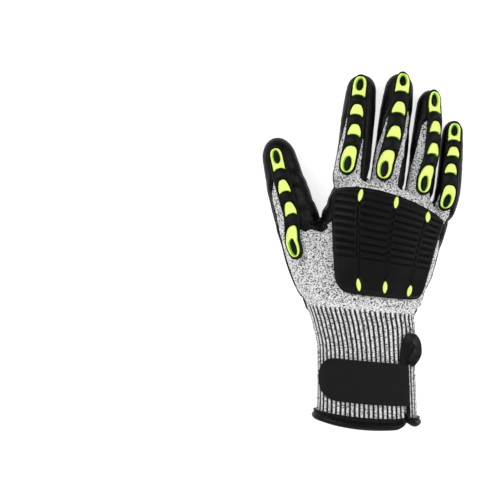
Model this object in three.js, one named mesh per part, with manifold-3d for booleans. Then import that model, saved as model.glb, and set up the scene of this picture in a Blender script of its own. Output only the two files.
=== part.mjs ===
// Impact glove for the right hand: a knitted shell with a coated palm, moulded guards on its back,
// a ribbed cuff and a wrist strap. It lies palm down. Millimetres, +Z up, fingers towards +Y and the
// thumb towards -X.
import * as THREE from 'three';
import { mergeVertices } from 'three/addons/utils/BufferGeometryUtils.js';
import Module from 'manifold-3d';

const wasm = await Module();
wasm.setup();

// Main sizes of the glove
const CUFF_LENGTH = 84;
const CUFF_WIDTH = 72;
const CUFF_DEPTH = 37;
const PALM_LENGTH = 91;
const PALM_DEPTH = 38;
const PALM_SHIFT = 21;
const WEB_NARROW = 1.7;
const FINGER_GAP = 0.7;
const PALM_SHARE = 0.94;
const WEB_SLOPE = 0.33;
const WEB_BOW = 7;

// Cloth, coating and the running gap between pieces
const KNIT_WALL = 1.8;
const COAT_THICKNESS = 1.2;
const PAD_RISE = 0.8;
const SEAT_GAP = 0.3;

// Ribbing of the cuff
const RIB_PITCH = 3.5;
const RIB_DEPTH = 0.8;
const RIB_INSET = 0.4;
const FINEST = 0.06;

// Guards
const STRIP_EASE = 0.5;
const STRIP_BASE = 1.3;
const STRIP_BRIDGE = 3.6;
const STRIP_RIM = 2.2;
const STRIP_MARGIN = 1.5;
const INLAY_RISE = 3;
const PLATE_BASE = 2.4;
const PLATE_RIB = 4.6;
const PLATE_PANEL = 4.2;
const CHANNEL_WIDTH = 3.4;
const LOZENGE_LENGTH = 8.4;
const LOZENGE_WIDTH = 3;
const LOZENGE_RISE = 0.9;
const DOME_RISE = 0.5;

// Strap, slit and binding
const STRAP_WIDTH = 31;
const STRAP_THICKNESS = 2.4;
const SLIT_LENGTH = 46;
const SLIT_WIDTH = 2.4;
const BINDING_WIDTH = 7;
const BINDING_THICKNESS = 1;
const BINDING_EASE = 0.7;
const LOOP_HEIGHT = 22;
const LOOP_WIDTH = 15;
const LOOP_TAPE = 4;

// Fingers, index first. Length runs from the web to the tip, width is at the web, and lean is the tilt
// of the finger away from the thumb, in degrees. Splay is how far its root moves across, in millimetres.
const FINGERS = [
  { name: 'index', length: 75.5, width: 26.8, depth: 24.5, lean: 7.6, splay: -1 },
  { name: 'middle', length: 81.5, width: 26, depth: 24.5, lean: 8.2, splay: 0 },
  { name: 'ring', length: 78, width: 21.6, depth: 23, lean: 7.2, splay: -1 },
  { name: 'little', length: 66, width: 19, depth: 21, lean: 5.8, splay: -6.5 },
];

// The thumb's length runs from inside the heel of the palm to the tip. It turns as it goes out.
const THUMB = { name: 'thumb', length: 125, width: 30, depth: 27, lean: -26, turn: 15, splay: 0 };

// Sections of a finger, as shares of its length, width, depth and splay. Lift is the underside's height.
const FINGER_SECTIONS = [
  { along: -0.2, width: 0.55, depth: 0.8, lift: 0.25, splay: 1 },
  { along: 0, width: 1, depth: 1.02, lift: 0.2, splay: 0.4 },
  { along: 0.25, width: 0.96, depth: 1, lift: 0.2, splay: 0 },
  { along: 0.48, width: 0.93, depth: 0.96, lift: 0.15, splay: 0 },
  { along: 0.68, width: 0.9, depth: 0.9, lift: 0.08, splay: 0 },
  { along: 0.84, width: 0.82, depth: 0.82, lift: 0.03, splay: 0 },
];

const THUMB_SECTIONS = [
  { along: 0, width: 0.9, depth: 0.95, lift: 0.15, splay: 0 },
  { along: 0.12, width: 1.32, depth: 1.25, lift: 0.04, splay: 0 },
  { along: 0.28, width: 1.25, depth: 1.2, lift: 0, splay: 0 },
  { along: 0.42, width: 1.13, depth: 1.1, lift: 0, splay: 0 },
  { along: 0.56, width: 1.06, depth: 1.02, lift: 0.02, splay: 0 },
  { along: 0.7, width: 0.98, depth: 0.96, lift: 0.03, splay: 0 },
  { along: 0.86, width: 0.85, depth: 0.84, lift: 0.02, splay: 0 },
];

// Sections of the cuff. Up is a share of its length, left and right of half its width, low and high of
// its depth. Slope tilts the section's ends, and bow bends its middle towards the hem or the fingers.
const CUFF_SECTIONS = [
  { up: 0, left: 1.03, right: 1.04, low: 0.06, high: 1.08, slope: 0.06, bow: -4 },
  { up: 0.16, left: 1, right: 1.03, low: 0.06, high: 1, slope: 0.08, bow: -1 },
  { up: 0.62, left: 0.995, right: 0.995, low: 0.07, high: 0.99, slope: 0.085, bow: 0 },
  { up: 0.87, left: 1.11, right: 1, low: 0.03, high: 1.03, slope: 0.085, bow: 0 },
];

// Sections of the palm. Up is a share of its length, left and right of the width across the webs, low
// and high of its depth.
const PALM_SECTIONS = [
  { up: 0, left: 0.5, right: 0.41, low: 0, high: 1.04, slope: 0.09, bow: 0 },
  { up: 0.15, left: 0.575, right: 0.475, low: -0.03, high: 1.06, slope: 0.11, bow: 0 },
  { up: 0.34, left: 0.5, right: 0.54, low: -0.04, high: 1.07, slope: 0.15, bow: 1 },
  { up: 0.56, left: 0.415, right: 0.595, low: -0.02, high: 1.04, slope: 0.2, bow: 2 },
  { up: 0.77, left: 0.325, right: 0.645, low: 0, high: 0.98, slope: 0.26, bow: 4 },
  { up: 0.91, left: 0.275, right: 0.675, low: 0.04, high: 0.88, slope: 0.31, bow: 6 },
];

// Lime pieces along each guard: their middles as shares of the finger's length, and the strip's middle
// line there as a share of the half width, positive away from the thumb
const STRIPS = {
  index: [
    { name: 'base', at: 0.165, side: -0.16 },
    { name: 'lower', at: 0.435, side: -0.06 },
    { name: 'upper', at: 0.625, side: -0.09 },
    { name: 'tip', at: 0.845, side: -0.13 },
  ],
  middle: [
    { name: 'base', at: 0.145, side: -0.13 },
    { name: 'lower', at: 0.435, side: 0.12 },
    { name: 'upper', at: 0.655, side: 0.18 },
    { name: 'tip', at: 0.862, side: 0.15 },
  ],
  ring: [
    { name: 'base', at: 0.125, side: 0.26 },
    { name: 'lower', at: 0.415, side: 0.48 },
    { name: 'upper', at: 0.62, side: 0.48 },
    { name: 'tip', at: 0.855, side: 0.28 },
  ],
  little: [
    { name: 'base', at: 0.13, side: -0.05 },
    { name: 'lower', at: 0.42, side: 0.05 },
    { name: 'upper', at: 0.615, side: 0.12 },
    { name: 'tip', at: 0.835, side: 0.12 },
  ],
  thumb: [
    { name: 'base', at: 0.385, side: -0.52 },
    { name: 'lower', at: 0.567, side: -0.25 },
    { name: 'upper', at: 0.7, side: -0.17 },
    { name: 'tip', at: 0.862, side: -0.04 },
  ],
};

// Lime pieces, as shares of the finger's width and length. On the thumb they keep the index's sizes.
const INLAYS = {
  tip: { width: 0.41, length: 0.2, hole: 0.21, holeLength: 0.105, holeAt: 0.035 },
  upper: { width: 0.4, length: 0.118 },
  lower: { width: 0.4, length: 0.118 },
  base: { width: 0.43, length: 0.262, hole: 0.21, holeLength: 0.14, holeAt: -0.04 },
};
const THUMB_INLAY_WIDTH = 0.85;
const THUMB_INLAY_LENGTH = 1.12;

// Clear windows in the coating over the back of each digit, as shares of its length and half width
const WINDOWS = {
  index: { end: 0.62, left: 0.74, right: 0.62 },
  middle: { end: 0.64, left: 0.64, right: 0.72 },
  ring: { end: 0.62, left: 0.6, right: 0.55 },
  little: { end: 0.3, left: 0.7, right: 0.4 },
};

// Edges of the knuckle guard, from the wrist end to the finger end: up is a share of the palm's length,
// left and right are shares of the width across the webs, measured from the middle of the cuff.
const PLATE_ROWS = [
  { up: 0.12, left: -0.18, right: 0.39 },
  { up: 0.155, left: -0.24, right: 0.44 },
  { up: 0.22, left: -0.283, right: 0.468 },
  { up: 0.43, left: -0.297, right: 0.515 },
  { up: 0.62, left: -0.305, right: 0.563 },
  { up: 0.75, left: -0.308, right: 0.6 },
  { up: 0.83, left: -0.29, right: 0.625 },
  { up: 0.92, left: -0.258, right: 0.632 },
];
const PLATE_SHARE = 0.8;
const RIB_COUNT = 9;
const RIBS_FROM = 0.4;
const RIBS_TO = 0.885;

// Channels along the knuckle guard: shares across the plate at its wrist end and at its finger end, and
// the lozenges' places as shares of the palm's length
const CHANNELS = [
  { low: 0.262, high: 0.255, from: 0.2, to: 0.85 },
  { low: 0.53, high: 0.55, from: 0.205, to: 0.86 },
  { low: 0.785, high: 0.822, from: 0.2, to: 0.835 },
];

// Rows of the cuff's table that the ribbing is lofted through, and the row where the coating starts
const CUFF_RIB_ROWS = [1, 2, 3];
const COAT_FIRST_ROW = 2;

const COLOURS = {
  knit: { color: 0xb9babb, roughness: 0.95, metalness: 0 },
  coating: { color: 0x222324, roughness: 0.85, metalness: 0 },
  guard: { color: 0x121212, roughness: 0.6, metalness: 0 },
  lime: { color: 0xe2f36a, roughness: 0.55, metalness: 0 },
  strap: { color: 0x1e1f21, roughness: 0.8, metalness: 0 },
  binding: { color: 0x17171a, roughness: 0.7, metalness: 0 },
};

// Offsets of each surface from the outside of the knitting
const COAT_INSIDE = SEAT_GAP;
const COAT_OUTSIDE = SEAT_GAP + COAT_THICKNESS;
const PAD_OUTSIDE = COAT_OUTSIDE + PAD_RISE;
const KNIT_INSIDE = -KNIT_WALL;
const GUARD_SEAT = COAT_OUTSIDE + SEAT_GAP;

const radians = THREE.MathUtils.degToRad;
const lerp = THREE.MathUtils.lerp;
const clamp = THREE.MathUtils.clamp;

// Value of one column of a table of sections at any place along it, straight between its rows
function column(rows, key, name, at) {
  const upper = rows.findIndex((row) => row[key] > at);
  const i = clamp(upper < 0 ? rows.length - 1 : upper, 1, rows.length - 1);
  const [before, after] = [rows[i - 1], rows[i]];
  const share = (at - before[key]) / (after[key] - before[key]);
  return lerp(before[name], after[name], clamp(share, -0.5, 1.5));
}

// Width across the webs: the fingers side by side
const webWidth = FINGERS.reduce((sum, finger) => sum + finger.width, 0) + FINGER_GAP * (FINGERS.length - 1);
const palmWidth = webWidth * PALM_SHARE;

// Rows of the cuff and the palm in one table, now in millimetres: distance from the hem, the middle and
// half width across, the middle height and half depth, outside the knitting
function handRow(start, length, half, depth, row) {
  const [left, right] = [row.left * half, row.right * half];
  const covered = start > 0 ? COAT_OUTSIDE : 0;
  return {
    y: start + row.up * length,
    x: (right - left) / 2,
    a: (right + left) / 2 - covered,
    z: ((row.low + row.high) * depth) / 2,
    b: ((row.high - row.low) * depth) / 2 - covered,
    slope: row.slope,
    bow: row.bow,
  };
}
const WEB_Y = CUFF_LENGTH + PALM_LENGTH;
const WEB_ROW = {
  y: WEB_Y,
  x: PALM_SHIFT - WEB_NARROW,
  a: palmWidth / 2 - WEB_NARROW - COAT_OUTSIDE,
  z: 0.42 * PALM_DEPTH,
  b: 0.27 * PALM_DEPTH - COAT_OUTSIDE,
  slope: WEB_SLOPE,
  bow: WEB_BOW,
};
const HAND_ROWS = [
  ...CUFF_SECTIONS.map((row) => handRow(0, CUFF_LENGTH, CUFF_WIDTH / 2, CUFF_DEPTH, row)),
  ...PALM_SECTIONS.map((row) => handRow(CUFF_LENGTH, PALM_LENGTH, palmWidth, PALM_DEPTH, row)),
  WEB_ROW,
];

const hand = (name, y) => column(HAND_ROWS, 'y', name, y);

// The underside is flat where the glove rests
const settle = (z, offset) => Math.max(z, PAD_OUTSIDE - offset);

// Point on the cuff or palm: y is the section's place, turn is the angle from the top of the back, in
// radians and positive away from the thumb, and offset is the distance outside the knitting
function handPoint(y, turn, offset) {
  const [a, b] = [hand('a', y) + offset, hand('b', y) + offset];
  const [across, up] = [Math.sin(turn), Math.cos(turn)];
  const share = Math.sign(across) * Math.abs(across) ** 0.88;
  const x = hand('x', y) + a * share;
  const z = hand('z', y) + b * Math.sign(up) * Math.abs(up) ** 0.88;
  const dx = x - hand('x', y);
  return new THREE.Vector3(x, y - hand('slope', y) * dx - hand('bow', y) * share * share, settle(z, offset));
}

// Angle at which a section of the back reaches a distance across, from the middle of the cuff
function turnAt(y, x, offset) {
  const share = clamp((x - hand('x', y)) / (hand('a', y) + offset), -0.995, 0.995);
  return Math.sign(share) * Math.asin(Math.abs(share) ** (1 / 0.88));
}

// Place each finger beside the one before, along the webs
function placeFingers() {
  let x = PALM_SHIFT - palmWidth / 2;
  let before = null;
  return FINGERS.map((finger) => {
    const lean = radians(finger.lean);
    const spread = Math.cos(lean) + WEB_SLOPE * Math.sin(lean);
    x += (before ? before.width / 2 + FINGER_GAP : 0) / spread;
    x += finger.width / 2 / spread;
    before = finger;
    const dx = x - PALM_SHIFT;
    const y = WEB_Y - WEB_SLOPE * dx - WEB_BOW * (dx / (palmWidth / 2)) ** 2;
    return { ...finger, x, y, turn: 0, sections: FINGER_SECTIONS };
  });
}
const THUMB_ROOT = { x: -0.37 * CUFF_WIDTH, y: CUFF_LENGTH + 0.09 * PALM_LENGTH };
const digits = [...placeFingers(), { ...THUMB, ...THUMB_ROOT, sections: THUMB_SECTIONS }];
const digit = Object.fromEntries(digits.map((one) => [one.name, one]));

// Middle line, direction and half sizes of a digit at a share of its length
function digitFrame(one, along) {
  const steps = 24;
  let [x, y] = [one.x, one.y];
  for (let i = 0; i < steps; i += 1) {
    const heading = radians(one.lean + one.turn * (along * (i + 0.5)) / steps);
    x += (Math.sin(heading) * one.length * along) / steps;
    y += (Math.cos(heading) * one.length * along) / steps;
  }
  const heading = radians(one.lean + one.turn * along);
  const value = (name) => column(one.sections, 'along', name, along);
  const depth = value('depth') * one.depth;
  x += value('splay') * one.splay;
  return {
    centre: new THREE.Vector3(x, y, value('lift') * one.depth + depth / 2),
    across: new THREE.Vector3(Math.cos(heading), -Math.sin(heading), 0),
    ahead: new THREE.Vector3(Math.sin(heading), Math.cos(heading), 0),
    a: (value('width') * one.width) / 2 - COAT_OUTSIDE,
    b: depth / 2 - COAT_OUTSIDE,
  };
}

// Point on a digit. Past the last section the tip closes as a rounded end.
function digitPoint(one, along, turn, offset) {
  const last = one.sections.at(-1).along;
  const frame = digitFrame(one, Math.min(along, last));
  const reach = Math.max(along - last, 0) / (1 - last);
  const tip = (1 - last) * one.length - COAT_OUTSIDE + offset;
  const narrow = Math.sqrt(Math.max(1 - reach * reach, 0));
  const point = frame.centre.clone()
    .addScaledVector(frame.ahead, reach * tip)
    .addScaledVector(frame.across, (frame.a + offset) * Math.sin(turn) * narrow);
  point.z = settle(point.z + (frame.b + offset) * Math.cos(turn) * narrow, offset);
  return point;
}

// Closed mesh from rings of points, each with as many points as the next, capped at both ends round the
// middle of each end ring or round a given point
function loft(rings, { closed = false, first, last } = {}) {
  const size = rings[0].length;
  const positions = rings.flat().flatMap((p) => [p.x, p.y, p.z]);
  const index = [];
  const quad = (a, b, c, d) => index.push(a, b, c, a, c, d);
  const count = closed ? rings.length : rings.length - 1;
  for (let i = 0; i < count; i += 1) {
    const j = (i + 1) % rings.length;
    for (let k = 0; k < size; k += 1) {
      const n = (k + 1) % size;
      quad(i * size + k, i * size + n, j * size + n, j * size + k);
    }
  }
  if (!closed) {
    const cap = (ring, start, flip, given) => {
      const mean = ring.reduce((sum, p) => sum.add(p), new THREE.Vector3()).divideScalar(size);
      const centre = given ?? mean;
      const c = positions.length / 3;
      positions.push(centre.x, centre.y, centre.z);
      for (let k = 0; k < size; k += 1) {
        const [p, q] = [start + k, start + ((k + 1) % size)];
        index.push(...(flip ? [p, q, c] : [q, p, c]));
      }
    };
    cap(rings[0], 0, false, first);
    cap(rings.at(-1), (rings.length - 1) * size, true, last);
  }
  return meshFrom(positions, index);
}

// Geometry from positions and triangles, turned right side out and with shared points merged
function meshFrom(positions, index) {
  const geometry = new THREE.BufferGeometry();
  geometry.setAttribute('position', new THREE.Float32BufferAttribute(positions, 3));
  geometry.setIndex(index);
  const merged = mergeVertices(geometry, 1e-4);
  const kept = [];
  const list = merged.index.array;
  for (let i = 0; i < list.length; i += 3) {
    const [a, b, c] = [list[i], list[i + 1], list[i + 2]];
    if (a !== b && b !== c && c !== a) kept.push(a, b, c);
  }
  merged.setIndex(kept);
  if (signedVolume(merged) < 0) {
    for (let i = 0; i < kept.length; i += 3) [kept[i], kept[i + 1]] = [kept[i + 1], kept[i]];
    merged.setIndex(kept);
  }
  return merged;
}

function signedVolume(geometry) {
  const place = geometry.attributes.position;
  const list = geometry.index.array;
  const [a, b, c] = [new THREE.Vector3(), new THREE.Vector3(), new THREE.Vector3()];
  let sum = 0;
  for (let i = 0; i < list.length; i += 3) {
    a.fromBufferAttribute(place, list[i]);
    b.fromBufferAttribute(place, list[i + 1]);
    c.fromBufferAttribute(place, list[i + 2]);
    sum += a.dot(b.cross(c)) / 6;
  }
  return sum;
}

// To and from the solids that can be joined and cut
function solid(geometry) {
  const clean = geometry.index && !geometry.attributes.normal ? geometry : bare(geometry);
  return new wasm.Manifold(new wasm.Mesh({
    numProp: 3,
    vertProperties: new Float32Array(clean.attributes.position.array),
    triVerts: new Uint32Array(clean.index.array),
  }));
}
function bare(geometry) {
  const copy = geometry.clone();
  copy.deleteAttribute('normal');
  copy.deleteAttribute('uv');
  return mergeVertices(copy, 1e-4);
}
function geometryOf(body) {
  const mesh = body.getMesh();
  const geometry = new THREE.BufferGeometry();
  geometry.setAttribute('position', new THREE.Float32BufferAttribute(mesh.vertProperties, 3));
  geometry.setIndex(new THREE.BufferAttribute(mesh.triVerts, 1));
  return geometry;
}

// Straight block between two heights over an outline seen from above
function block(outline, low, high) {
  const shape = new THREE.Shape(outline.map((p) => new THREE.Vector2(p.x, p.y)));
  const geometry = new THREE.ExtrudeGeometry(shape, { depth: high - low, bevelEnabled: false });
  geometry.translate(0, 0, low);
  return solid(geometry);
}

// Patch of material that follows a surface. The surface takes shares along and across and a height.
// The heights table has a row for each place along, with one height for each place across.
function patch(surface, rows, columns, heights, seat) {
  const top = rows.map((v, i) => columns.map((u, k) => surface(v, u, heights(i, k))));
  const bottom = rows.map((v) => columns.map((u) => surface(v, u, seat)));
  const points = [...top.flat(), ...bottom.flat()];
  const [m, n] = [rows.length, columns.length];
  const index = [];
  const quad = (a, b, c, d) => index.push(a, b, c, a, c, d);
  for (let i = 0; i < m - 1; i += 1) {
    for (let k = 0; k < n - 1; k += 1) {
      const a = i * n + k;
      quad(a, a + 1, a + n + 1, a + n);
      quad(m * n + a, m * n + a + n, m * n + a + n + 1, m * n + a + 1);
    }
  }
  const edge = [];
  for (let k = 0; k < n - 1; k += 1) edge.push(k);
  for (let i = 0; i < m - 1; i += 1) edge.push(i * n + n - 1);
  for (let k = n - 1; k > 0; k -= 1) edge.push((m - 1) * n + k);
  for (let i = m - 1; i > 0; i -= 1) edge.push(i * n);
  edge.forEach((a, i) => {
    const b = edge[(i + 1) % edge.length];
    quad(a, m * n + a, m * n + b, b);
  });
  return meshFrom(points.flatMap((p) => [p.x, p.y, p.z]), index);
}

const HAND_SIDES = 20;
const HAND_SIDES_INSIDE = 16;
const DIGIT_SIDES = 10;
const DIGIT_SIDES_INSIDE = 8;
const TIP_RINGS = [0.46, 0.78, 0.95];
const TIP_RINGS_INSIDE = [0.6];
const around = (sides) => Array.from({ length: sides }, (_, k) => (k / sides) * 2 * Math.PI);

// Outside or inside of the palm, from a row of the table to its finger end
function palmForm(offset, firstRow) {
  const turns = around(offset < 0 ? HAND_SIDES_INSIDE : HAND_SIDES);
  const places = HAND_ROWS.slice(firstRow).map((row) => row.y);
  places[places.length - 1] += offset;
  return solid(loft(places.map((y) => turns.map((turn) => handPoint(y, turn, offset)))));
}

// Angles that part the outline of the cuff, halfway up, into equal lengths of about the given size
function evenTurns(step) {
  const fine = around(HAND_SIDES * 24);
  const outline = new THREE.CurvePath();
  const points = [...fine, 0].map((turn) => handPoint(CUFF_LENGTH / 2, turn, 0));
  points.slice(1).forEach((point, i) => outline.add(new THREE.LineCurve3(points[i], point)));
  const lengths = [0, ...outline.getCurveLengths()];
  const count = 2 * Math.round(outline.getLength() / step / 2);
  return Array.from({ length: count }, (_, k) => {
    const at = (k / count) * outline.getLength();
    const i = lengths.findLastIndex((length) => length <= at);
    const share = (at - lengths[i]) / (lengths[i + 1] - lengths[i]);
    return ((i + share) / fine.length) * 2 * Math.PI;
  });
}

// Outside or inside of the cuff. The outside is ribbed: crests and grooves take turns.
function cuffForm(offset, ribbed) {
  const turns = ribbed ? evenTurns(RIB_PITCH / 2) : around(HAND_SIDES_INSIDE);
  const depthAt = (k) => (ribbed && k % 2 ? offset - RIB_DEPTH : offset);
  const start = ribbed ? 0 : -2 * KNIT_WALL;
  const places = [start, ...CUFF_RIB_ROWS.map((i) => HAND_ROWS[i].y), CUFF_LENGTH];
  const rings = places.map((y) => turns.map((turn, k) => handPoint(y, turn, depthAt(k))));
  const inner = turns.map((turn) => handPoint(CUFF_LENGTH + RIB_PITCH * 2, turn, offset - KNIT_WALL / 2));
  return solid(loft([...rings, inner]));
}

// Outside or inside of a finger or the thumb, its tip closed by shrinking rings
function digitForm(one, offset) {
  const last = one.sections.at(-1).along;
  const places = one.sections.map((row) => row.along);
  places[0] -= offset / one.length;
  const visible = offset >= COAT_OUTSIDE;
  const turns = around(visible ? DIGIT_SIDES : DIGIT_SIDES_INSIDE);
  for (const reach of visible ? TIP_RINGS : TIP_RINGS_INSIDE) places.push(last + (1 - last) * reach);
  return solid(loft(places.map((at) => turns.map((turn) => digitPoint(one, at, turn, offset)))));
}

// Palm, fingers and thumb in one form
function handForm(offset, firstRow = CUFF_SECTIONS.length) {
  return digits.reduce((whole, one) => whole.add(digitForm(one, offset)), palmForm(offset, firstRow));
}

// Outline from above of the part of a digit's back that the coating leaves clear
function digitWindow(one, rows) {
  const side = (row, sign) => {
    const frame = digitFrame(one, row.along);
    const share = sign < 0 ? -row.left : row.right;
    return frame.centre.clone().addScaledVector(frame.across, share * (frame.a + COAT_OUTSIDE));
  };
  return [...rows.map((row) => side(row, -1)), ...rows.toReversed().map((row) => side(row, 1))];
}

// Parts of the back that the coating leaves clear, and everything below its edge at the wrist
function coatWindows() {
  const tall = PALM_DEPTH * 2;
  const windows = Object.entries(WINDOWS).map(([name, size]) => {
    const rows = [
      { along: -0.14, left: 1.3, right: 1.3 },
      { along: -0.05, left: 1.1, right: 1.1 },
      { along: 0.02, left: size.left + 0.06, right: size.right + 0.06 },
      { along: size.end * 0.6, left: size.left, right: size.right },
      { along: size.end * 0.85, left: size.left * 0.85, right: size.right * 0.7 },
      { along: size.end, left: size.left * 0.5, right: size.right * 0.3 },
    ];
    return block(digitWindow(digit[name], rows), digit[name].depth * 0.5, tall);
  });
  const thumbRows = [
    { along: 0.1, left: 1.4, right: 0.6 },
    { along: 0.3, left: 1.3, right: 0.6 },
    { along: 0.4, left: 1.08, right: 0.35 },
    { along: 0.52, left: 0.84, right: 0 },
    { along: 0.68, left: 0.8, right: -0.1 },
    { along: 0.77, left: 0.5, right: -0.3 },
  ];
  windows.push(block(digitWindow(digit.thumb, thumbRows), digit.thumb.depth * 0.6, tall));
  windows.push(block(handWindow(), PALM_DEPTH * 0.5, tall));
  windows.push(block(wristEdge(), -tall, tall));
  return windows;
}

// Outline from above of the clear back of the hand
function handWindow() {
  const rows = [
    { up: -0.45, left: -0.8, right: 0.42 },
    { up: -0.1, left: -0.8, right: 0.42 },
    { up: 0.14, left: -0.75, right: 0.45 },
    { up: 0.34, left: -0.66, right: 0.505 },
    { up: 0.47, left: -0.56, right: 0.535 },
    { up: 0.54, left: -0.45, right: 0.555 },
    { up: 0.6, left: -0.33, right: 0.575 },
    { up: 0.76, left: -0.29, right: 0.61 },
    { up: 0.93, left: -0.25, right: 0.65 },
    { up: 0.99, left: -0.235, right: 0.66 },
  ];
  const side = (row, name) => {
    const y = CUFF_LENGTH + row.up * PALM_LENGTH;
    const x = row[name] * palmWidth;
    const dx = x - hand('x', y);
    return new THREE.Vector2(x, y - hand('slope', y) * dx - hand('bow', y) * (dx / hand('a', y)) ** 2);
  };
  return [...rows.map((row) => side(row, 'left')), ...rows.toReversed().map((row) => side(row, 'right'))];
}

// Outline from above of all that lies below the coating's edge at the wrist, a curve on the palm side
function wristEdge() {
  const edge = [
    { x: -1.2, y: 1.2 },
    { x: -0.68, y: 1.13 },
    { x: -0.36, y: 0.91 },
    { x: -0.04, y: 0.77 },
    { x: 0.2, y: 0.8 },
    { x: 0.45, y: 0.94 },
    { x: 0.8, y: 1.02 },
  ].map((p) => new THREE.Vector2(p.x * palmWidth, p.y * CUFF_LENGTH));
  const below = -CUFF_LENGTH;
  return [...edge, new THREE.Vector2(palmWidth, below), new THREE.Vector2(-palmWidth * 1.3, below)];
}

// Raised pads of the palm, seen from above: corners as shares of the web width and palm length
const PADS = {
  centre: [
    [0.44, 0.56], [0.1, 0.67], [-0.24, 0.76], [-0.36, 0.7], [-0.32, 0.46], [-0.38, 0.3],
    [-0.12, 0.02], [0.13, 0.2], [0.19, 0.4], [0.3, 0.49], [0.44, 0.5],
  ],
  heel: [
    [0.35, 0.38], [0.42, 0.3], [0.41, 0.16], [0.32, 0.02], [0.23, 0.02], [0.21, 0.18], [0.26, 0.32],
  ],
  knuckles: [
    [0.5, 0.74], [-0.28, 0.9], [-0.3, 0.82], [0.1, 0.73], [0.47, 0.62],
  ],
};

function padOutline(corners) {
  return corners.map(([x, y]) => new THREE.Vector2(x * palmWidth, CUFF_LENGTH + y * PALM_LENGTH));
}

function knittedShell() {
  const outside = handForm(0).add(cuffForm(-RIB_INSET, true));
  const inside = handForm(KNIT_INSIDE).add(cuffForm(KNIT_INSIDE, false));
  const slit = slitLine();
  const mid = hand('z', SLIT_LENGTH / 2);
  return outside.subtract(inside).subtract(block(slit, mid, CUFF_DEPTH * 2)).simplify(FINEST);
}

// The slit runs up the back of the cuff from the hem, away from the thumb
const SLIT_TURN = radians(53);
const SLIT_OPEN = radians(5);
function slitLine() {
  const foot = handPoint(0, SLIT_TURN, 0);
  const head = handPoint(SLIT_LENGTH, SLIT_TURN, 0);
  const half = SLIT_WIDTH / 2;
  return [
    new THREE.Vector2(foot.x - half * 1.8, foot.y - BINDING_WIDTH),
    new THREE.Vector2(foot.x + half * 1.8, foot.y - BINDING_WIDTH),
    new THREE.Vector2(head.x + half * 0.6, head.y),
    new THREE.Vector2(head.x - half * 0.6, head.y),
  ];
}

function palmCoating() {
  const inner = handForm(COAT_INSIDE, COAT_FIRST_ROW);
  let coat = handForm(COAT_OUTSIDE, COAT_FIRST_ROW);
  const raised = palmForm(PAD_OUTSIDE, COAT_FIRST_ROW);
  for (const corners of Object.values(PADS)) {
    coat = coat.add(raised.intersect(block(padOutline(corners), -PAD_OUTSIDE, PALM_DEPTH / 4)));
  }
  const cut = coatWindows().reduce((left, window) => left.subtract(window), coat.subtract(inner));
  return largest(cut).simplify(FINEST);
}

// Drops the loose offcuts that the windows leave between the fingers
function largest(body) {
  return body.decompose().reduce((best, piece) => (piece.volume() > best.volume() ? piece : best));
}

// Surface over a digit: place along as a share of its length, and distance across in millimetres
function overDigit(one) {
  const places = STRIPS[one.name];
  return (along, across, height) => {
    const frame = digitFrame(one, Math.min(along, one.sections.at(-1).along));
    const side = column(places, 'at', 'side', clamp(along, places[0].at, places.at(-1).at));
    const seat = GUARD_SEAT + STRIP_EASE;
    const turn = Math.asin(side) + across / (frame.a + seat + STRIP_BRIDGE / 2);
    return digitPoint(one, along, turn, seat + height);
  };
}

// Where each lime piece lies along a digit and how large it is
function inlayPlaces(one) {
  const thumb = one.name === THUMB.name;
  const width = thumb ? FINGERS[0].width * THUMB_INLAY_WIDTH : one.width;
  const length = thumb ? (FINGERS[0].length * THUMB_INLAY_LENGTH) / one.length : 1;
  return STRIPS[one.name].map(({ name, at }) => {
    const size = INLAYS[name];
    return { name, size, at, half: (size.length * length) / 2, width: size.width * width };
  });
}

// Black strip along a digit: low where a lime piece sits, raised bridges between, a rim along each side
function stripGuard(one) {
  const places = inlayPlaces(one);
  const margin = STRIP_MARGIN / one.length;
  const widest = Math.max(...places.map((place) => place.width)) / 2 + STRIP_MARGIN;
  const rows = [];
  const add = (along, raised, share) => rows.push({ along, raised, share });
  places.forEach((place, i) => {
    const [low, high] = [place.at - place.half, place.at + place.half];
    if (i === 0) {
      add(low - margin, false, 0.5);
      add(low + margin * 0.5, false, 0.85);
    } else {
      add(low - margin * 0.7, true, 1);
      add(low - margin * 0.2, false, 1);
    }
    if (i === 0 || i === places.length - 1) add(place.at, false, 1);
    if (i === places.length - 1) {
      add(lerp(place.at, high, 0.55), false, 0.95);
      return;
    }
    add(high + margin * 0.2, false, 1);
    add(high + margin * 0.7, true, 1);
  });
  const end = places.at(-1).at + places.at(-1).half;
  add(end - margin * 0.5, false, 0.8);
  add(end + margin * 0.6, false, 0.45);
  const columns = [-1, -0.85, 0, 0.85, 1];
  const heights = (i, k) => {
    if (k === 0 || k === columns.length - 1) return STRIP_BASE;
    if (k === 2) return rows[i].raised ? STRIP_BRIDGE : STRIP_BASE;
    return rows[i].raised ? STRIP_RIM : STRIP_BASE;
  };
  const surface = overDigit(one);
  const shaped = (i, across, height) => surface(rows[i].along, across * widest * rows[i].share, height);
  return patch(shaped, rows.map((_, i) => i), columns, heights, 0);
}

const OUTLINE_STEPS = 10;

// Outlines of the lime pieces around their middle, in shares of half the width and half the length
const outlines = {
  // Rounded top, straight sides and a hollow lower edge between two horns
  tip: () => horned(0.5),
  upper: () => horned(-0.1),
  lower: () => horned(-0.1),
  base: () => Array.from({ length: OUTLINE_STEPS }, (_, k) => {
    const turn = (k / OUTLINE_STEPS) * 2 * Math.PI;
    return [Math.sign(Math.cos(turn)) * Math.abs(Math.cos(turn)) ** 0.7, Math.sin(turn)];
  }),
};

function horned(shoulder) {
  const points = [];
  const arc = 4;
  for (let k = 0; k <= arc; k += 1) {
    const turn = (k / arc) * Math.PI;
    points.push([Math.cos(turn), shoulder + (1 - shoulder) * Math.sin(turn) ** 0.9]);
  }
  points.push([-1, -1], [-0.5, -0.78], [0.5, -0.78], [1, -1]);
  return points;
}

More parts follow.
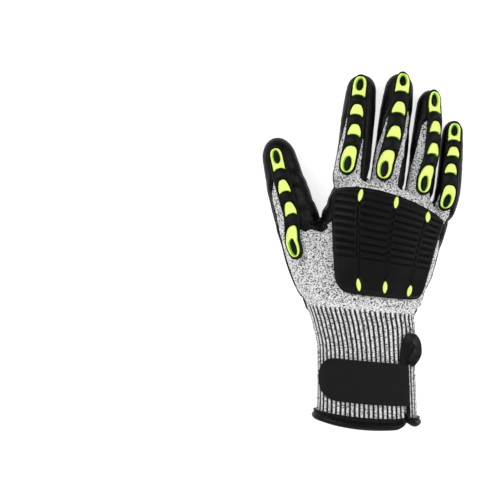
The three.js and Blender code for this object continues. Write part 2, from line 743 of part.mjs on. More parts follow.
// Lime piece: a ring round a hole, or a solid dome, on the guard's low seat
function inlay(one, place) {
  const surface = overDigit(one);
  const seat = STRIP_BASE + SEAT_GAP;
  const at = ([x, y], height, shrink = 1) => surface(
    place.at + y * (place.half - SEAT_GAP / one.length) * shrink,
    x * (place.width / 2 - SEAT_GAP) * shrink,
    height,
  );
  const outline = outlines[place.name]();
  if (!place.size.hole) {
    const rings = [
      outline.map((p) => at(p, seat)),
      outline.map((p) => at(p, INLAY_RISE)),
      outline.map((p) => at(p, INLAY_RISE + DOME_RISE, 0.7)),
    ];
    return loft(rings, { first: at([0, 0], seat), last: at([0, 0], INLAY_RISE + DOME_RISE) });
  }
  const hole = outline.map((_, k) => {
    const turn = (k / outline.length) * 2 * Math.PI;
    const x = (place.size.hole / place.size.width) * Math.cos(turn);
    const y = (place.size.holeAt + (place.size.holeLength / 2) * Math.sin(turn)) / (place.size.length / 2);
    return [x, y];
  });
  const rings = [
    outline.map((p) => at(p, seat)),
    outline.map((p) => at(p, INLAY_RISE)),
    hole.map((p) => at(p, INLAY_RISE)),
    hole.map((p) => at(p, seat)),
  ];
  return loft(rings, { closed: true });
}

// Surface over the back of the hand: up the palm and across the knuckle guard, both as shares
function overBack(up, across, height) {
  const y = CUFF_LENGTH + up * PALM_LENGTH;
  const left = column(PLATE_ROWS, 'up', 'left', up) * palmWidth;
  const right = column(PLATE_ROWS, 'up', 'right', up) * palmWidth;
  const turn = turnAt(y, lerp(left, right, across), GUARD_SEAT + PLATE_BASE);
  return handPoint(y, turn, GUARD_SEAT + height);
}

// Ribbed plate over the knuckles, cut by three channels that join the lozenges
function knuckleGuard() {
  const first = PLATE_ROWS[0].up;
  const last = PLATE_ROWS.at(-1).up;
  const pitch = (RIBS_TO - RIBS_FROM) / RIB_COUNT;
  const rows = [
    { up: first, kind: 'edge' }, { up: first + 0.02, kind: 'panel' },
    { up: 0.22, kind: 'panel' }, { up: RIBS_FROM - pitch * 0.6, kind: 'panel' },
  ];
  for (let i = 0; i < RIB_COUNT; i += 1) {
    const at = RIBS_FROM + i * pitch;
    rows.push({ up: at, kind: 'groove' }, { up: at + pitch * 0.5, kind: 'rib' });
  }
  rows.push({ up: RIBS_TO, kind: 'groove' }, { up: RIBS_TO + pitch * 0.4, kind: 'rib' });
  rows.push({ up: last, kind: 'edge' });
  const half = CHANNEL_WIDTH / 2 / (palmWidth * PLATE_SHARE);
  const columns = [0, 0.03];
  for (const channel of CHANNELS) {
    columns.push(channel, { ...channel, floor: true }, { ...channel, after: true });
  }
  columns.push(0.97, 1);
  const heights = (i, k) => {
    if (columns[k].floor || rows[i].kind === 'edge') return PLATE_BASE;
    if (k === 0 || k === columns.length - 1) return PLATE_BASE;
    if (rows[i].kind === 'groove') return k === 1 || k === columns.length - 2 ? PLATE_PANEL : PLATE_BASE;
    return rows[i].kind === 'rib' ? PLATE_RIB : PLATE_PANEL;
  };
  const across = (entry, up) => {
    if (entry.low === undefined) return entry;
    const middle = lerp(entry.low, entry.high, (up - first) / (last - first));
    if (entry.floor) return middle;
    return middle + (entry.after ? half : -half);
  };
  const surface = (up, entry, height) => overBack(up, across(entry, up), height);
  return patch(surface, rows.map((row) => row.up), columns, heights, 0);
}

// Lozenge at the end of a channel
function knuckleInlay(channel, up) {
  const first = PLATE_ROWS[0].up;
  const last = PLATE_ROWS.at(-1).up;
  const middle = lerp(channel.low, channel.high, (up - first) / (last - first));
  const outline = Array.from({ length: 8 }, (_, k) => {
    const turn = (k / 8) * 2 * Math.PI;
    return [Math.cos(turn), Math.sin(turn)];
  });
  const at = ([x, y], height, shrink = 1) => overBack(
    up + (y * shrink * LOZENGE_LENGTH) / PALM_LENGTH / 2,
    middle + (x * shrink * LOZENGE_WIDTH) / palmWidth / PLATE_SHARE / 2,
    height,
  );
  return loft([
    outline.map((p) => at(p, PLATE_RIB + SEAT_GAP)),
    outline.map((p) => at(p, PLATE_RIB + SEAT_GAP + LOZENGE_RISE * 0.7)),
    outline.map((p) => at(p, PLATE_RIB + SEAT_GAP + LOZENGE_RISE, 0.6)),
  ]);
}

// Strap across the back of the cuff, with a rounded free end on the thumb side
function wristStrap() {
  const low = CUFF_LENGTH * 0.2;
  const from = SLIT_TURN - radians(4);
  const to = radians(-69);
  const columns = [-1, -0.93, 0.93, 1];
  const shares = [0, 0.14, 0.28, 0.42, 0.55, 0.66, 0.76, 0.85, 0.92, 0.97, 1];
  const roundFrom = 0.62;
  const surface = (v, u, height) => {
    const past = Math.max(v - roundFrom, 0) / (1.02 - roundFrom);
    const round = Math.sqrt(1 - past ** 2.6);
    const y = low + STRAP_WIDTH / 2 + (u * STRAP_WIDTH * round) / 2;
    return handPoint(y, lerp(from, to, v), SEAT_GAP + height);
  };
  const heights = (i, k) => (k === 0 || k === columns.length - 1 ? STRAP_THICKNESS * 0.7 : STRAP_THICKNESS);
  return patch(surface, shares, columns, heights, 0);
}

// Tape folded over the cuff's lower edge, from one side of the slit round to the other
function hemBinding() {
  const steps = 24;
  const [from, to] = [SLIT_TURN + SLIT_OPEN, SLIT_TURN - SLIT_OPEN + 2 * Math.PI];
  const outer = SEAT_GAP + BINDING_EASE;
  const inner = KNIT_INSIDE - SEAT_GAP - BINDING_EASE;
  const outside = outer + BINDING_THICKNESS;
  const inside = inner - BINDING_THICKNESS;
  const fold = SEAT_GAP + BINDING_THICKNESS;
  const section = [
    [BINDING_WIDTH, outer], [BINDING_WIDTH, outside], [-fold, outside], [-fold, inside],
    [BINDING_WIDTH, inside], [BINDING_WIDTH, inner], [-SEAT_GAP, inner], [-SEAT_GAP, outer],
  ];
  const rings = Array.from({ length: steps + 1 }, (_, i) => {
    const turn = lerp(from, to, i / steps);
    return section.map(([up, offset]) => {
      const point = handPoint(Math.max(up, 0), turn, offset);
      point.y += Math.min(up, 0);
      return point;
    });
  });
  return tube(rings);
}

// Narrow tape along the edge of the slit that the strap leaves clear
function slitBinding() {
  const from = BINDING_WIDTH + SEAT_GAP;
  const rows = [from, (from + SLIT_LENGTH) / 2, SLIT_LENGTH];
  const turn = SLIT_TURN + radians(3);
  const surface = (y, across, height) => handPoint(y, turn + across, SEAT_GAP + height);
  return patch(surface, rows, [0, radians(5)], () => BINDING_THICKNESS, 0);
}

// Swept section with flat ends: the section need not be convex
function tube(rings) {
  const size = rings[0].length;
  const index = [];
  for (let i = 0; i < rings.length - 1; i += 1) {
    for (let k = 0; k < size; k += 1) {
      const n = (k + 1) % size;
      const [a, b] = [i * size + k, i * size + n];
      index.push(a, b, b + size, a, b + size, a + size);
    }
  }
  const flat = rings[0].map((p) => new THREE.Vector2(p.y, p.x + p.z * 2));
  const faces = THREE.ShapeUtils.triangulateShape(flat, []);
  const last = (rings.length - 1) * size;
  const clockwise = THREE.ShapeUtils.isClockWise(flat);
  for (const [a, b, c] of faces) {
    const [p, q] = clockwise ? [b, a] : [a, b];
    index.push(q, p, c);
    index.push(last + p, last + q, last + c);
  }
  return meshFrom(rings.flat().flatMap((p) => [p.x, p.y, p.z]), index);
}

// Flat loop of tape that stands up the cuff from the head of the slit
function pullLoop() {
  const steps = 16;
  const lift = 2 * SEAT_GAP + BINDING_THICKNESS;
  const middle = SLIT_TURN + radians(11);
  const centreAt = (turn, height) => {
    const y = SLIT_LENGTH + LOOP_HEIGHT / 2 + (Math.sin(turn) * (LOOP_HEIGHT - LOOP_TAPE)) / 2;
    const side = (Math.cos(turn) * (LOOP_WIDTH - LOOP_TAPE)) / CUFF_DEPTH;
    return handPoint(y, middle + side, height);
  };
  const rings = Array.from({ length: steps + 1 }, (_, i) => {
    const turn = lerp(radians(-75), radians(255), i / steps);
    const centre = centreAt(turn, lift);
    const out = centreAt(turn, lift + 1).sub(centre).normalize();
    const ahead = centreAt(turn + 0.05, lift).sub(centre).normalize();
    const wide = new THREE.Vector3().crossVectors(ahead, out).normalize();
    return [[1, 0], [0.7, 1], [-0.7, 1], [-1, 0], [-0.7, -1], [0.7, -1]].map(([side, up]) => centre.clone()
      .addScaledVector(wide, (side * LOOP_TAPE) / 2)
      .addScaledVector(out, up * BINDING_THICKNESS));
  });
  return loft(rings);
}

const group = new THREE.Group();

function addPiece(name, geometry, look) {
  geometry.computeVertexNormals();
  const mesh = new THREE.Mesh(geometry, new THREE.MeshStandardMaterial(COLOURS[look]));
  mesh.name = name;
  group.add(mesh);
}

addPiece('knitted_shell', geometryOf(knittedShell()), 'knit');
addPiece('palm_coating', geometryOf(palmCoating()), 'coating');
addPiece('knuckle_guard', knuckleGuard(), 'guard');
CHANNELS.forEach((channel, i) => {
  addPiece(`knuckle_inlay_${2 * i + 1}`, knuckleInlay(channel, channel.to), 'lime');
  addPiece(`knuckle_inlay_${2 * i + 2}`, knuckleInlay(channel, channel.from), 'lime');
});
for (const one of digits) {
  addPiece(`${one.name}_guard`, stripGuard(one), 'guard');
  for (const place of inlayPlaces(one)) {
    addPiece(`${one.name}_inlay_${place.name}`, inlay(one, place), 'lime');
  }
}
addPiece('wrist_strap', wristStrap(), 'strap');
addPiece('hem_binding', hemBinding(), 'binding');
addPiece('slit_binding', slitBinding(), 'binding');
addPiece('pull_loop', pullLoop(), 'binding');

// Stand the glove on the surface with the middle of its footprint at the origin
const box = new THREE.Box3().setFromObject(group);
const middle = box.getCenter(new THREE.Vector3());
group.position.set(-middle.x, -middle.y, -box.min.z);
group.updateMatrixWorld(true);

export default group;
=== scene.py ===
"""Right-hand impact glove, lying palm down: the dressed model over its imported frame.

Shapes are worked out in millimetres in the glove's own layout, with the middle of the cuff's hem at x 0, y 0
and the surface it lies on at z 0, and are placed in the frame's metres when a piece is published.
"""
from __future__ import annotations

import logging
import math
from dataclasses import dataclass, field
from enum import Enum
from typing import Callable, Mapping, Sequence

import bmesh
import bpy
import numpy as np
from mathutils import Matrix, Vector, noise

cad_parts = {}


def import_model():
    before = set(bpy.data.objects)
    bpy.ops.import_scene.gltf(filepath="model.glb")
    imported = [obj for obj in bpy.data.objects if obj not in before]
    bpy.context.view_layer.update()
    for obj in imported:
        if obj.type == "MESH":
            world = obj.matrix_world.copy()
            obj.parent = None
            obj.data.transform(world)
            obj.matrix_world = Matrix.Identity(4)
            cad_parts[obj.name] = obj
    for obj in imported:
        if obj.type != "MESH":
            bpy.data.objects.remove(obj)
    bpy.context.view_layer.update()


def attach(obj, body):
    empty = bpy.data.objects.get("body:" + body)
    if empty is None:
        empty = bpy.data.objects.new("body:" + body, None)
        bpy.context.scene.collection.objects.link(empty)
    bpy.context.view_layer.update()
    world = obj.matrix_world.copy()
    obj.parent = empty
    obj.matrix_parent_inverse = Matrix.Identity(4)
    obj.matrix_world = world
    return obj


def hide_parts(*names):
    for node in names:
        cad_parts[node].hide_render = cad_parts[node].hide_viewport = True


LOG = logging.getLogger("impact_glove")

Array = np.ndarray
Rows = Sequence[Sequence[float]]
Move = Callable[[Array], Array]
Shape = Callable[[Array, Array], Array]
Surface = Callable[[Array, Array, Array], Array]
Mesh = bmesh.types.BMesh
Material = bpy.types.Material

MM = 0.001
LAYOUT_SHIFT = (1.272, -127.823, 0.0)

KNIT_WALL = 1.8
COAT_THICKNESS = 1.2
SEAT_GAP = 0.3
PAD_RISE = 0.8
COAT_OUTSIDE = SEAT_GAP + COAT_THICKNESS
PAD_OUTSIDE = COAT_OUTSIDE + PAD_RISE
GUARD_SEAT = COAT_OUTSIDE + SEAT_GAP
ROUNDING = 0.88
CUFF_ROUND = 178.0
CUFF_MIDDLE_Z = 20.0
SLIT_TURN = math.radians(47)
GRID_MARGIN = 0.6
SNAP = 0.03
FAR = 99.0


class Slot(Enum):
    """Material slots of the record."""

    KNIT = "knit"
    COATING = "nitrile_coating"
    GUARD = "guard_rubber"
    LIME = "lime_rubber"
    STRAP = "strap_cloth"
    BINDING = "binding_tape"


def smooth_step(low: float, high: float, value: Array) -> Array:
    """Returns 0 below low, 1 above high and a smooth rise between.

    Args:
        low: Where the rise starts.
        high: Where the rise ends.
        value: Values to shape.

    Returns:
        Shares from 0 to 1.
    """
    share = np.clip((value - low) / (high - low), 0.0, 1.0)
    return share * share * (3.0 - 2.0 * share)


def fillet(inside: Array, radius: float) -> Array:
    """Height share of a rounded edge, from 0 at the edge to 1 a radius inside it."""
    share = np.clip(inside / radius, 0.0, 1.0)
    return np.sqrt(1.0 - (1.0 - share) ** 2)


def polygon_distance(points: Array, corners: Array) -> Array:
    """Signed distance from points to a closed outline.

    Args:
        points: Points in the plane, one row each.
        corners: Corners of the outline in order.

    Returns:
        Distances, positive inside the outline.
    """
    best = np.full(len(points), np.inf)
    inside = np.zeros(len(points), dtype=bool)
    for first, second in zip(corners, np.roll(corners, -1, axis=0)):
        side = second - first
        offset = points - first
        share = np.clip(offset @ side / (side @ side), 0.0, 1.0)
        best = np.minimum(best, np.linalg.norm(offset - share[:, None] * side, axis=1))
        spans = (first[1] > points[:, 1]) != (second[1] > points[:, 1])
        rise = second[1] - first[1] if second[1] != first[1] else 1.0
        crossing = first[0] + (points[:, 1] - first[1]) * side[0] / rise
        inside ^= spans & (points[:, 0] < crossing)
    return np.where(inside, best, -best)


def ripple(points: Array, scale: float, seed: float = 0.0) -> Array:
    """Smooth noise from -1 to 1 at points in millimetres, with waves about scale millimetres long."""
    shift = Vector((seed, seed * 0.7, -seed))
    return np.array([noise.noise(Vector(point) / scale + shift) for point in points])


def ripples(points: Array, *waves: Sequence[float]) -> Array:
    """Sum of smooth noises, each given by its waves' length, its seed and its height."""
    return sum(ripple(points, scale, seed) * height for scale, seed, height in waves)


class Sections:
    """Smooth columns of numbers through a table of sections."""

    def __init__(self, places: Sequence[float], **columns: Sequence[float]) -> None:
        """Keeps the table and works out a slope for each value.

        Args:
            places: Where each row lies, in rising order.
            columns: Named columns with one value for each row.
        """
        self.places = np.asarray(places, dtype=float)
        self.columns = {name: np.asarray(values, dtype=float) for name, values in columns.items()}
        self.slopes = {name: self._slopes(values) for name, values in self.columns.items()}

    def _slopes(self, values: Array) -> Array:
        """Slopes that keep each stretch between rows free of overshoot.

        Args:
            values: One value for each row.

        Returns:
            One slope for each row.
        """
        steps = np.diff(self.places)
        rises = np.diff(values) / steps
        slopes = np.empty_like(values)
        slopes[0], slopes[-1] = rises[0], rises[-1]
        before, after = rises[:-1], rises[1:]
        total = before + after
        mean = np.where(before * after > 0, 2.0 * before * after / np.where(total == 0, 1.0, total), 0.0)
        slopes[1:-1] = mean
        return slopes

    def value(self, name: str, at: Array) -> Array:
        """Value of one column.

        Args:
            name: Column's name.
            at: Places along the table. Past its ends the values go on straight for half a step.

        Returns:
            One value for each place.
        """
        places, values, slopes = self.places, self.columns[name], self.slopes[name]
        at = np.asarray(at, dtype=float)
        index = np.clip(np.searchsorted(places, at) - 1, 0, len(places) - 2)
        step = places[index + 1] - places[index]
        share = np.clip((at - places[index]) / step, 0.0, 1.0)
        past = (at - np.clip(at, places[0], places[-1]))
        low, high = values[index], values[index + 1]
        cubic = (
            (2 * share ** 3 - 3 * share ** 2 + 1) * low
            + (share ** 3 - 2 * share ** 2 + share) * step * slopes[index]
            + (3 * share ** 2 - 2 * share ** 3) * high
            + (share ** 3 - share ** 2) * step * slopes[index + 1]
        )
        end_slope = np.where(past < 0, slopes[0], slopes[-1])
        return cubic + past * end_slope


@dataclass(frozen=True)
class HandSizes:
    """Sizes of the cuff and the palm."""

    cuff_length: float = 84.0
    cuff_width: float = 72.0
    cuff_depth: float = 37.0
    palm_length: float = 91.0
    palm_depth: float = 38.0
    palm_shift: float = 21.0
    web_narrow: float = 1.7
    finger_gap: float = 0.7
    palm_share: float = 0.94
    web_slope: float = 0.33
    web_bow: float = 7.0
    web_middle: float = 0.42
    web_half_depth: float = 0.27


FINGER_SIZES = {
    "index": (75.5, 26.8, 24.5, 7.6, -1.0),
    "middle": (81.5, 26.0, 24.5, 8.2, 0.0),
    "ring": (78.0, 21.6, 23.0, 7.2, -1.0),
    "little": (66.0, 19.0, 21.0, 5.8, -6.5),
}

THUMB_SIZES = (125.0, 30.0, 27.0, -26.0, 0.0)
THUMB_ROOT = (-0.37, 0.09)
THUMB_TURN = 15.0

CUFF_ROWS = (
    (0.0, 1.03, 1.04, 0.06, 1.08, 0.06, -4.0),
    (0.16, 1.0, 1.03, 0.06, 1.0, 0.08, -1.0),
    (0.62, 0.995, 0.995, 0.07, 0.99, 0.085, 0.0),
    (0.87, 1.11, 1.0, 0.03, 1.03, 0.085, 0.0),
)

PALM_ROWS = (
    (0.0, 0.5, 0.41, 0.0, 1.04, 0.09, 0.0),
    (0.15, 0.575, 0.475, -0.03, 1.06, 0.11, 0.0),
    (0.34, 0.5, 0.54, -0.04, 1.07, 0.15, 1.0),
    (0.56, 0.415, 0.595, -0.02, 1.04, 0.2, 2.0),
    (0.77, 0.325, 0.645, 0.0, 0.98, 0.26, 4.0),
    (0.91, 0.275, 0.675, 0.04, 0.88, 0.31, 6.0),
)


class HandForm:
    """Outside of the knitting over the cuff and the palm."""

    def __init__(self, sizes: HandSizes) -> None:
        """Works out the sections from the named sizes.

        Args:
            sizes: Sizes of the cuff and the palm.
        """
        self.sizes = sizes
        widths = [row[1] for row in FINGER_SIZES.values()]
        self.palm_width = (sum(widths) + sizes.finger_gap * (len(widths) - 1)) * sizes.palm_share
        cuff = (0.0, sizes.cuff_length, sizes.cuff_width / 2, sizes.cuff_depth)
        palm = (sizes.cuff_length, sizes.palm_length, self.palm_width, sizes.palm_depth)
        rows = [self._row(*cuff, row) for row in CUFF_ROWS] + [self._row(*palm, row) for row in PALM_ROWS]
        self.web_y = sizes.cuff_length + sizes.palm_length
        rows.append((
            self.web_y,
            sizes.palm_shift - sizes.web_narrow,
            self.palm_width / 2 - sizes.web_narrow - COAT_OUTSIDE,
            sizes.web_middle * sizes.palm_depth,
            sizes.web_half_depth * sizes.palm_depth - COAT_OUTSIDE,
            sizes.web_slope,
            sizes.web_bow,
        ))
        places, x, a, z, b, slope, bow = zip(*rows)
        self.sections = Sections(places, x=x, a=a, z=z, b=b, slope=slope, bow=bow)

    @staticmethod
    def _row(
        start: float, length: float, half: float, depth: float, row: Sequence[float],
    ) -> tuple[float, ...]:
        """One section in millimetres: place, middle, half width, middle height, half depth, slope, bow.

        Args:
            start: Where the table starts.
            length: Its length.
            half: Width that the shares across are of.
            depth: Depth that the shares up are of.
            row: Row of shares.

        Returns:
            The section.
        """
        up, left, right, low, high, slope, bow = row
        covered = COAT_OUTSIDE if start > 0 else 0.0
        return (
            start + up * length,
            (right - left) * half / 2,
            (right + left) * half / 2 - covered,
            (low + high) * depth / 2,
            (high - low) * depth / 2 - covered,
            slope,
            bow,
        )

    def point(self, y: Array, turn: Array, offset: Array) -> Array:
        """Points on the cuff or palm.

        Args:
            y: Section's place from the hem.
            turn: Angle from the top of the back, positive away from the thumb.
            offset: Distance outside the knitting.

        Returns:
            Points, one row each.
        """
        value = self.sections.value
        across, up = np.sin(turn), np.cos(turn)
        share = np.sign(across) * np.abs(across) ** ROUNDING
        reach = (value("a", y) + offset) * share
        x = value("x", y) + reach
        z = value("z", y) + (value("b", y) + offset) * np.sign(up) * np.abs(up) ** ROUNDING
        along = y - value("slope", y) * reach - value("bow", y) * share * share
        z = np.maximum(z, PAD_OUTSIDE - offset)
        return np.stack(np.broadcast_arrays(x, along, z), axis=-1)

    def turn_at(self, y: Array, x: Array, offset: float) -> Array:
        """Angle at which a section of the back reaches a distance across.

        Args:
            y: Section's place from the hem.
            x: Distance across.
            offset: Distance outside the knitting.

        Returns:
            Angles from the top of the back.
        """
        value = self.sections.value
        share = np.clip((x - value("x", y)) / (value("a", y) + offset), -0.995, 0.995)
        return np.sign(share) * np.arcsin(np.abs(share) ** (1.0 / ROUNDING))

    def flat_point(self, up: float, x: float) -> tuple[float, float]:
        """Point from above, from a share of the palm's length and a distance across.

        Args:
            up: Share of the palm's length.
            x: Distance across.

        Returns:
            The point.
        """
        y = self.sizes.cuff_length + up * self.sizes.palm_length
        value = self.sections.value
        dx = x - float(value("x", y))
        drop = float(value("slope", y)) * dx + float(value("bow", y)) * (dx / float(value("a", y))) ** 2
        return (x, y - drop)


FINGER_ROWS = (
    (-0.2, 0.55, 0.8, 0.25, 1.0),
    (0.0, 1.0, 1.02, 0.2, 0.4),
    (0.25, 0.96, 1.0, 0.2, 0.0),
    (0.48, 0.93, 0.96, 0.15, 0.0),
    (0.68, 0.9, 0.9, 0.08, 0.0),
    (0.84, 0.82, 0.82, 0.03, 0.0),
)

THUMB_ROWS = (
    (0.0, 0.9, 0.95, 0.15, 0.0),
    (0.12, 1.32, 1.25, 0.04, 0.0),
    (0.28, 1.25, 1.2, 0.0, 0.0),
    (0.42, 1.13, 1.1, 0.0, 0.0),
    (0.56, 1.06, 1.02, 0.02, 0.0),
    (0.7, 0.98, 0.96, 0.03, 0.0),
    (0.86, 0.85, 0.84, 0.02, 0.0),
)


@dataclass
class Digit:
    """A finger or the thumb: its sizes, its root and its sections."""

    name: str
    length: float
    width: float
    depth: float
    lean: float
    splay: float
    x: float
    y: float
    turn: float = 0.0
    rows: Rows = FINGER_ROWS
    sections: Sections = field(init=False)

    def __post_init__(self) -> None:
        """Builds the smooth table of sections."""
        along, width, depth, lift, splay = zip(*self.rows)
        self.sections = Sections(along, width=width, depth=depth, lift=lift, splay=splay)

    @property
    def last(self) -> float:
        """Share of the length where the rounded end starts."""
        return self.rows[-1][0]

    def frame(self, along: Array) -> tuple[Array, Array, Array, Array, Array]:
        """Middle line, directions and half sizes.

        Args:
            along: Shares of the digit's length.

        Returns:
            Middles, directions across, directions ahead, half widths and half depths.
        """
        along = np.asarray(along, dtype=float)
        start = math.radians(self.lean)
        heading = start + math.radians(self.turn) * along
        if self.turn:
            rate = math.radians(self.turn)
            dx = self.length * (math.cos(start) - np.cos(heading)) / rate
            dy = self.length * (np.sin(heading) - math.sin(start)) / rate
        else:
            dx = self.length * along * math.sin(start)
            dy = self.length * along * math.cos(start)
        value = self.sections.value
        depth = value("depth", along) * self.depth
        x = self.x + dx + value("splay", along) * self.splay
        centre = np.stack([x, self.y + dy, value("lift", along) * self.depth + depth / 2], axis=-1)
        zero = np.zeros_like(heading)
        across = np.stack([np.cos(heading), -np.sin(heading), zero], axis=-1)
        ahead = np.stack([np.sin(heading), np.cos(heading), zero], axis=-1)
        half = value("width", along) * self.width / 2 - COAT_OUTSIDE
        return centre, across, ahead, half, depth / 2 - COAT_OUTSIDE

    def point(self, along: Array, turn: Array, offset: Array) -> Array:
        """Points on the digit, whose end closes as a rounded tip.

        Args:
            along: Shares of the digit's length.
            turn: Angle from the top, positive away from the thumb.
            offset: Distance outside the knitting.

        Returns:
            Points, one row each.
        """
        centre, across, ahead, half, deep = self.frame(np.minimum(along, self.last))
        reach = np.clip((along - self.last) / (1.0 - self.last), 0.0, 1.0)
        tip = (1.0 - self.last) * self.length - COAT_OUTSIDE + offset
        narrow = np.sqrt(np.maximum(1.0 - reach * reach, 0.0))
        sideways = ((half + offset) * np.sin(turn) * narrow)[..., None]
        point = centre + ahead * (reach * tip)[..., None] + across * sideways
        z = point[..., 2] + (deep + offset) * np.cos(turn) * narrow
        point[..., 2] = np.maximum(z, PAD_OUTSIDE - offset)
        return point


def place_digits(hand: HandForm) -> dict[str, Digit]:
    """Places the fingers side by side along the webs, and the thumb at the heel.

    Args:
        hand: Form of the cuff and palm.

    Returns:
        Digits by name.
    """
    sizes = hand.sizes
    digits: dict[str, Digit] = {}
    x = sizes.palm_shift - hand.palm_width / 2
    before = 0.0
    for name, (length, width, depth, lean, splay) in FINGER_SIZES.items():
        angle = math.radians(lean)
        spread = math.cos(angle) + sizes.web_slope * math.sin(angle)
        x += before / spread + width / 2 / spread
        before = width / 2 + sizes.finger_gap
        dx = x - sizes.palm_shift
        y = hand.web_y - sizes.web_slope * dx - sizes.web_bow * (dx / (hand.palm_width / 2)) ** 2
        digits[name] = Digit(name, length, width, depth, lean, splay, x, y)
    digits["thumb"] = Digit(
        "thumb", *THUMB_SIZES, THUMB_ROOT[0] * sizes.cuff_width,
        sizes.cuff_length + THUMB_ROOT[1] * sizes.palm_length, THUMB_TURN, THUMB_ROWS,
    )
    return digits


def operator(operation: str, reflected: bool = False) -> Callable[..., "Value"]:
    """Method that adds a Math node.

    Args:
        operation: The node's operation.
        reflected: Whether the value itself stands second.

    Returns:
        The method, which takes the other value.
    """
    def method(value: "Value", other: "Value | float" = 0.0) -> "Value":
        """Outcome of the operation.

        Args:
            value: Value whose method this is.
            other: The other value.

        Returns:
            The node's output.
        """
        first, second = (other, value) if reflected else (value, other)
        node = value.graph.node("ShaderNodeMath", {"operation": operation}, {0: first, 1: second})
        return Value(value.graph, node.outputs[0])

    return method


class Value:
    """A shader socket that works in Python expressions."""

    def __init__(self, graph: "Graph", socket: bpy.types.NodeSocket) -> None:
        """Wraps one output socket of a graph."""
        self.graph = graph
        self.socket = socket

    __add__ = operator("ADD")
    __radd__ = operator("ADD", reflected=True)
    __sub__ = operator("SUBTRACT")
    __rsub__ = operator("SUBTRACT", reflected=True)
    __mul__ = operator("MULTIPLY")
    __rmul__ = operator("MULTIPLY", reflected=True)
    __truediv__ = operator("DIVIDE")
    __rtruediv__ = operator("DIVIDE", reflected=True)
    __abs__ = operator("ABSOLUTE")
    floor = operator("FLOOR")
    fract = operator("FRACT")

    def rise(self, low: float, high: float) -> "Value":
        """Smooth rise from 0 at low to 1 at high.

        Args:
            low: Where it starts.
            high: Where it ends.

        Returns:
            The risen value.
        """
        node = self.graph.node(
            "ShaderNodeMapRange", {"interpolation_type": "SMOOTHSTEP"},
            {"Value": self, "From Min": low, "From Max": high},
        )
        return Value(self.graph, node.outputs[0])


class Graph:
    """Nodes of one material with a Principled shader at the end."""

    def __init__(self, name: str, constants: Mapping[str, object]) -> None:
        """Starts a material.

        Args:
            name: Material's name.
            constants: Values that are the same all over, set on the shader's own sockets.
        """
        self.material = bpy.data.materials.new(name)
        self.material.use_nodes = True
        self.tree = self.material.node_tree
        self.shader = self.tree.nodes["Principled BSDF"]
        for socket, value in constants.items():
            self.shader.inputs[socket].default_value = value

    def node(
        self, kind: str, settings: Mapping[str, object] | None = None,
        inputs: Mapping[object, object] | None = None,
    ) -> bpy.types.Node:
        """Adds a node of any type.

        Args:
            kind: Node's type.
            settings: Its own settings, which are set first. Stops are a colour ramp's places and colours.
            inputs: Values or links for its sockets, by name or number.

        Returns:
            The new node.
        """
        node = self.tree.nodes.new(kind)
        for name, value in (settings or {}).items():
            if name != "stops":
                setattr(node, name, value)
                continue
            ramp = node.color_ramp
            while len(ramp.elements) < len(value):
                ramp.elements.new(0.5)
            for element, (place, colour) in zip(ramp.elements, value):
                element.position = place
                element.color = colour
        for name, value in (inputs or {}).items():
            if isinstance(value, Value):
                self.tree.links.new(value.socket, node.inputs[name])
            else:
                node.inputs[name].default_value = value
        return node

    def out(self, node: bpy.types.Node, output: object = 0) -> Value:
        """One output of a node as a value."""
        return Value(self, node.outputs[output])

    def axes(self) -> tuple[Value, Value, Value]:
        """Object coordinates in millimetres, one by one.

        Returns:
            Across, along and up.
        """
        coordinates = self.node("ShaderNodeTexCoord")
        parts = self.node("ShaderNodeSeparateXYZ", None, {0: self.out(coordinates, "Object")})
        return tuple(self.out(parts, axis) * 1000.0 for axis in range(3))

    def place(self) -> Value:
        """Object coordinates in millimetres as one vector."""
        return self.join(*self.axes())

    def attribute(self, name: str) -> Value:
        """A number stored on the piece's points."""
        return self.out(self.node("ShaderNodeAttribute", {"attribute_name": name}), "Fac")

    def join(self, x: Value | float, y: Value | float, z: Value | float) -> Value:
        """A vector from three values."""
        return self.out(self.node("ShaderNodeCombineXYZ", None, {0: x, 1: y, 2: z}))

    def noise(self, vector: Value, scale: float, detail: float = 2.0, roughness: float = 0.5) -> Value:
        """Smooth noise from 0 to 1."""
        inputs = {"Vector": vector, "Scale": scale, "Detail": detail, "Roughness": roughness}
        return self.out(self.node("ShaderNodeTexNoise", None, inputs))

    def ramp(self, value: Value, stops: Sequence[tuple[float, tuple[float, ...]]]) -> Value:
        """Colours along a value."""
        return self.out(self.node("ShaderNodeValToRGB", {"stops": stops}, {0: value}))

    def mix(
        self, share: Value | float, low: Value | tuple[float, ...], high: Value | tuple[float, ...],
    ) -> Value:
        """Mix of two colours."""
        node = self.node("ShaderNodeMix", {"data_type": "RGBA"}, {0: share, 6: low, 7: high})
        return self.out(node, 2)

    def bump(self, height: Value, strength: float, distance_mm: float) -> Value:
        """Normals from a height."""
        inputs = {"Strength": strength, "Distance": distance_mm * MM, "Height": height}
        return self.out(self.node("ShaderNodeBump", None, inputs))

    def finish(
        self, colour: Value, rough: Value | None = None, normal: Value | None = None,
    ) -> Material:
        """Links values to the shader.

        Args:
            colour: Base colour.
            rough: Roughness, where it varies.
            normal: Normals, where there is a bump.

        Returns:
            The finished material.
        """
        for socket, value in (("Base Color", colour), ("Roughness", rough), ("Normal", normal)):
            if value is not None:
                self.tree.links.new(value.socket, self.shader.inputs[socket])
        return self.material


def grey(level: float) -> tuple[float, float, float, float]:
    """A grey as a colour."""
    return (level, level, level * 1.01, 1.0)


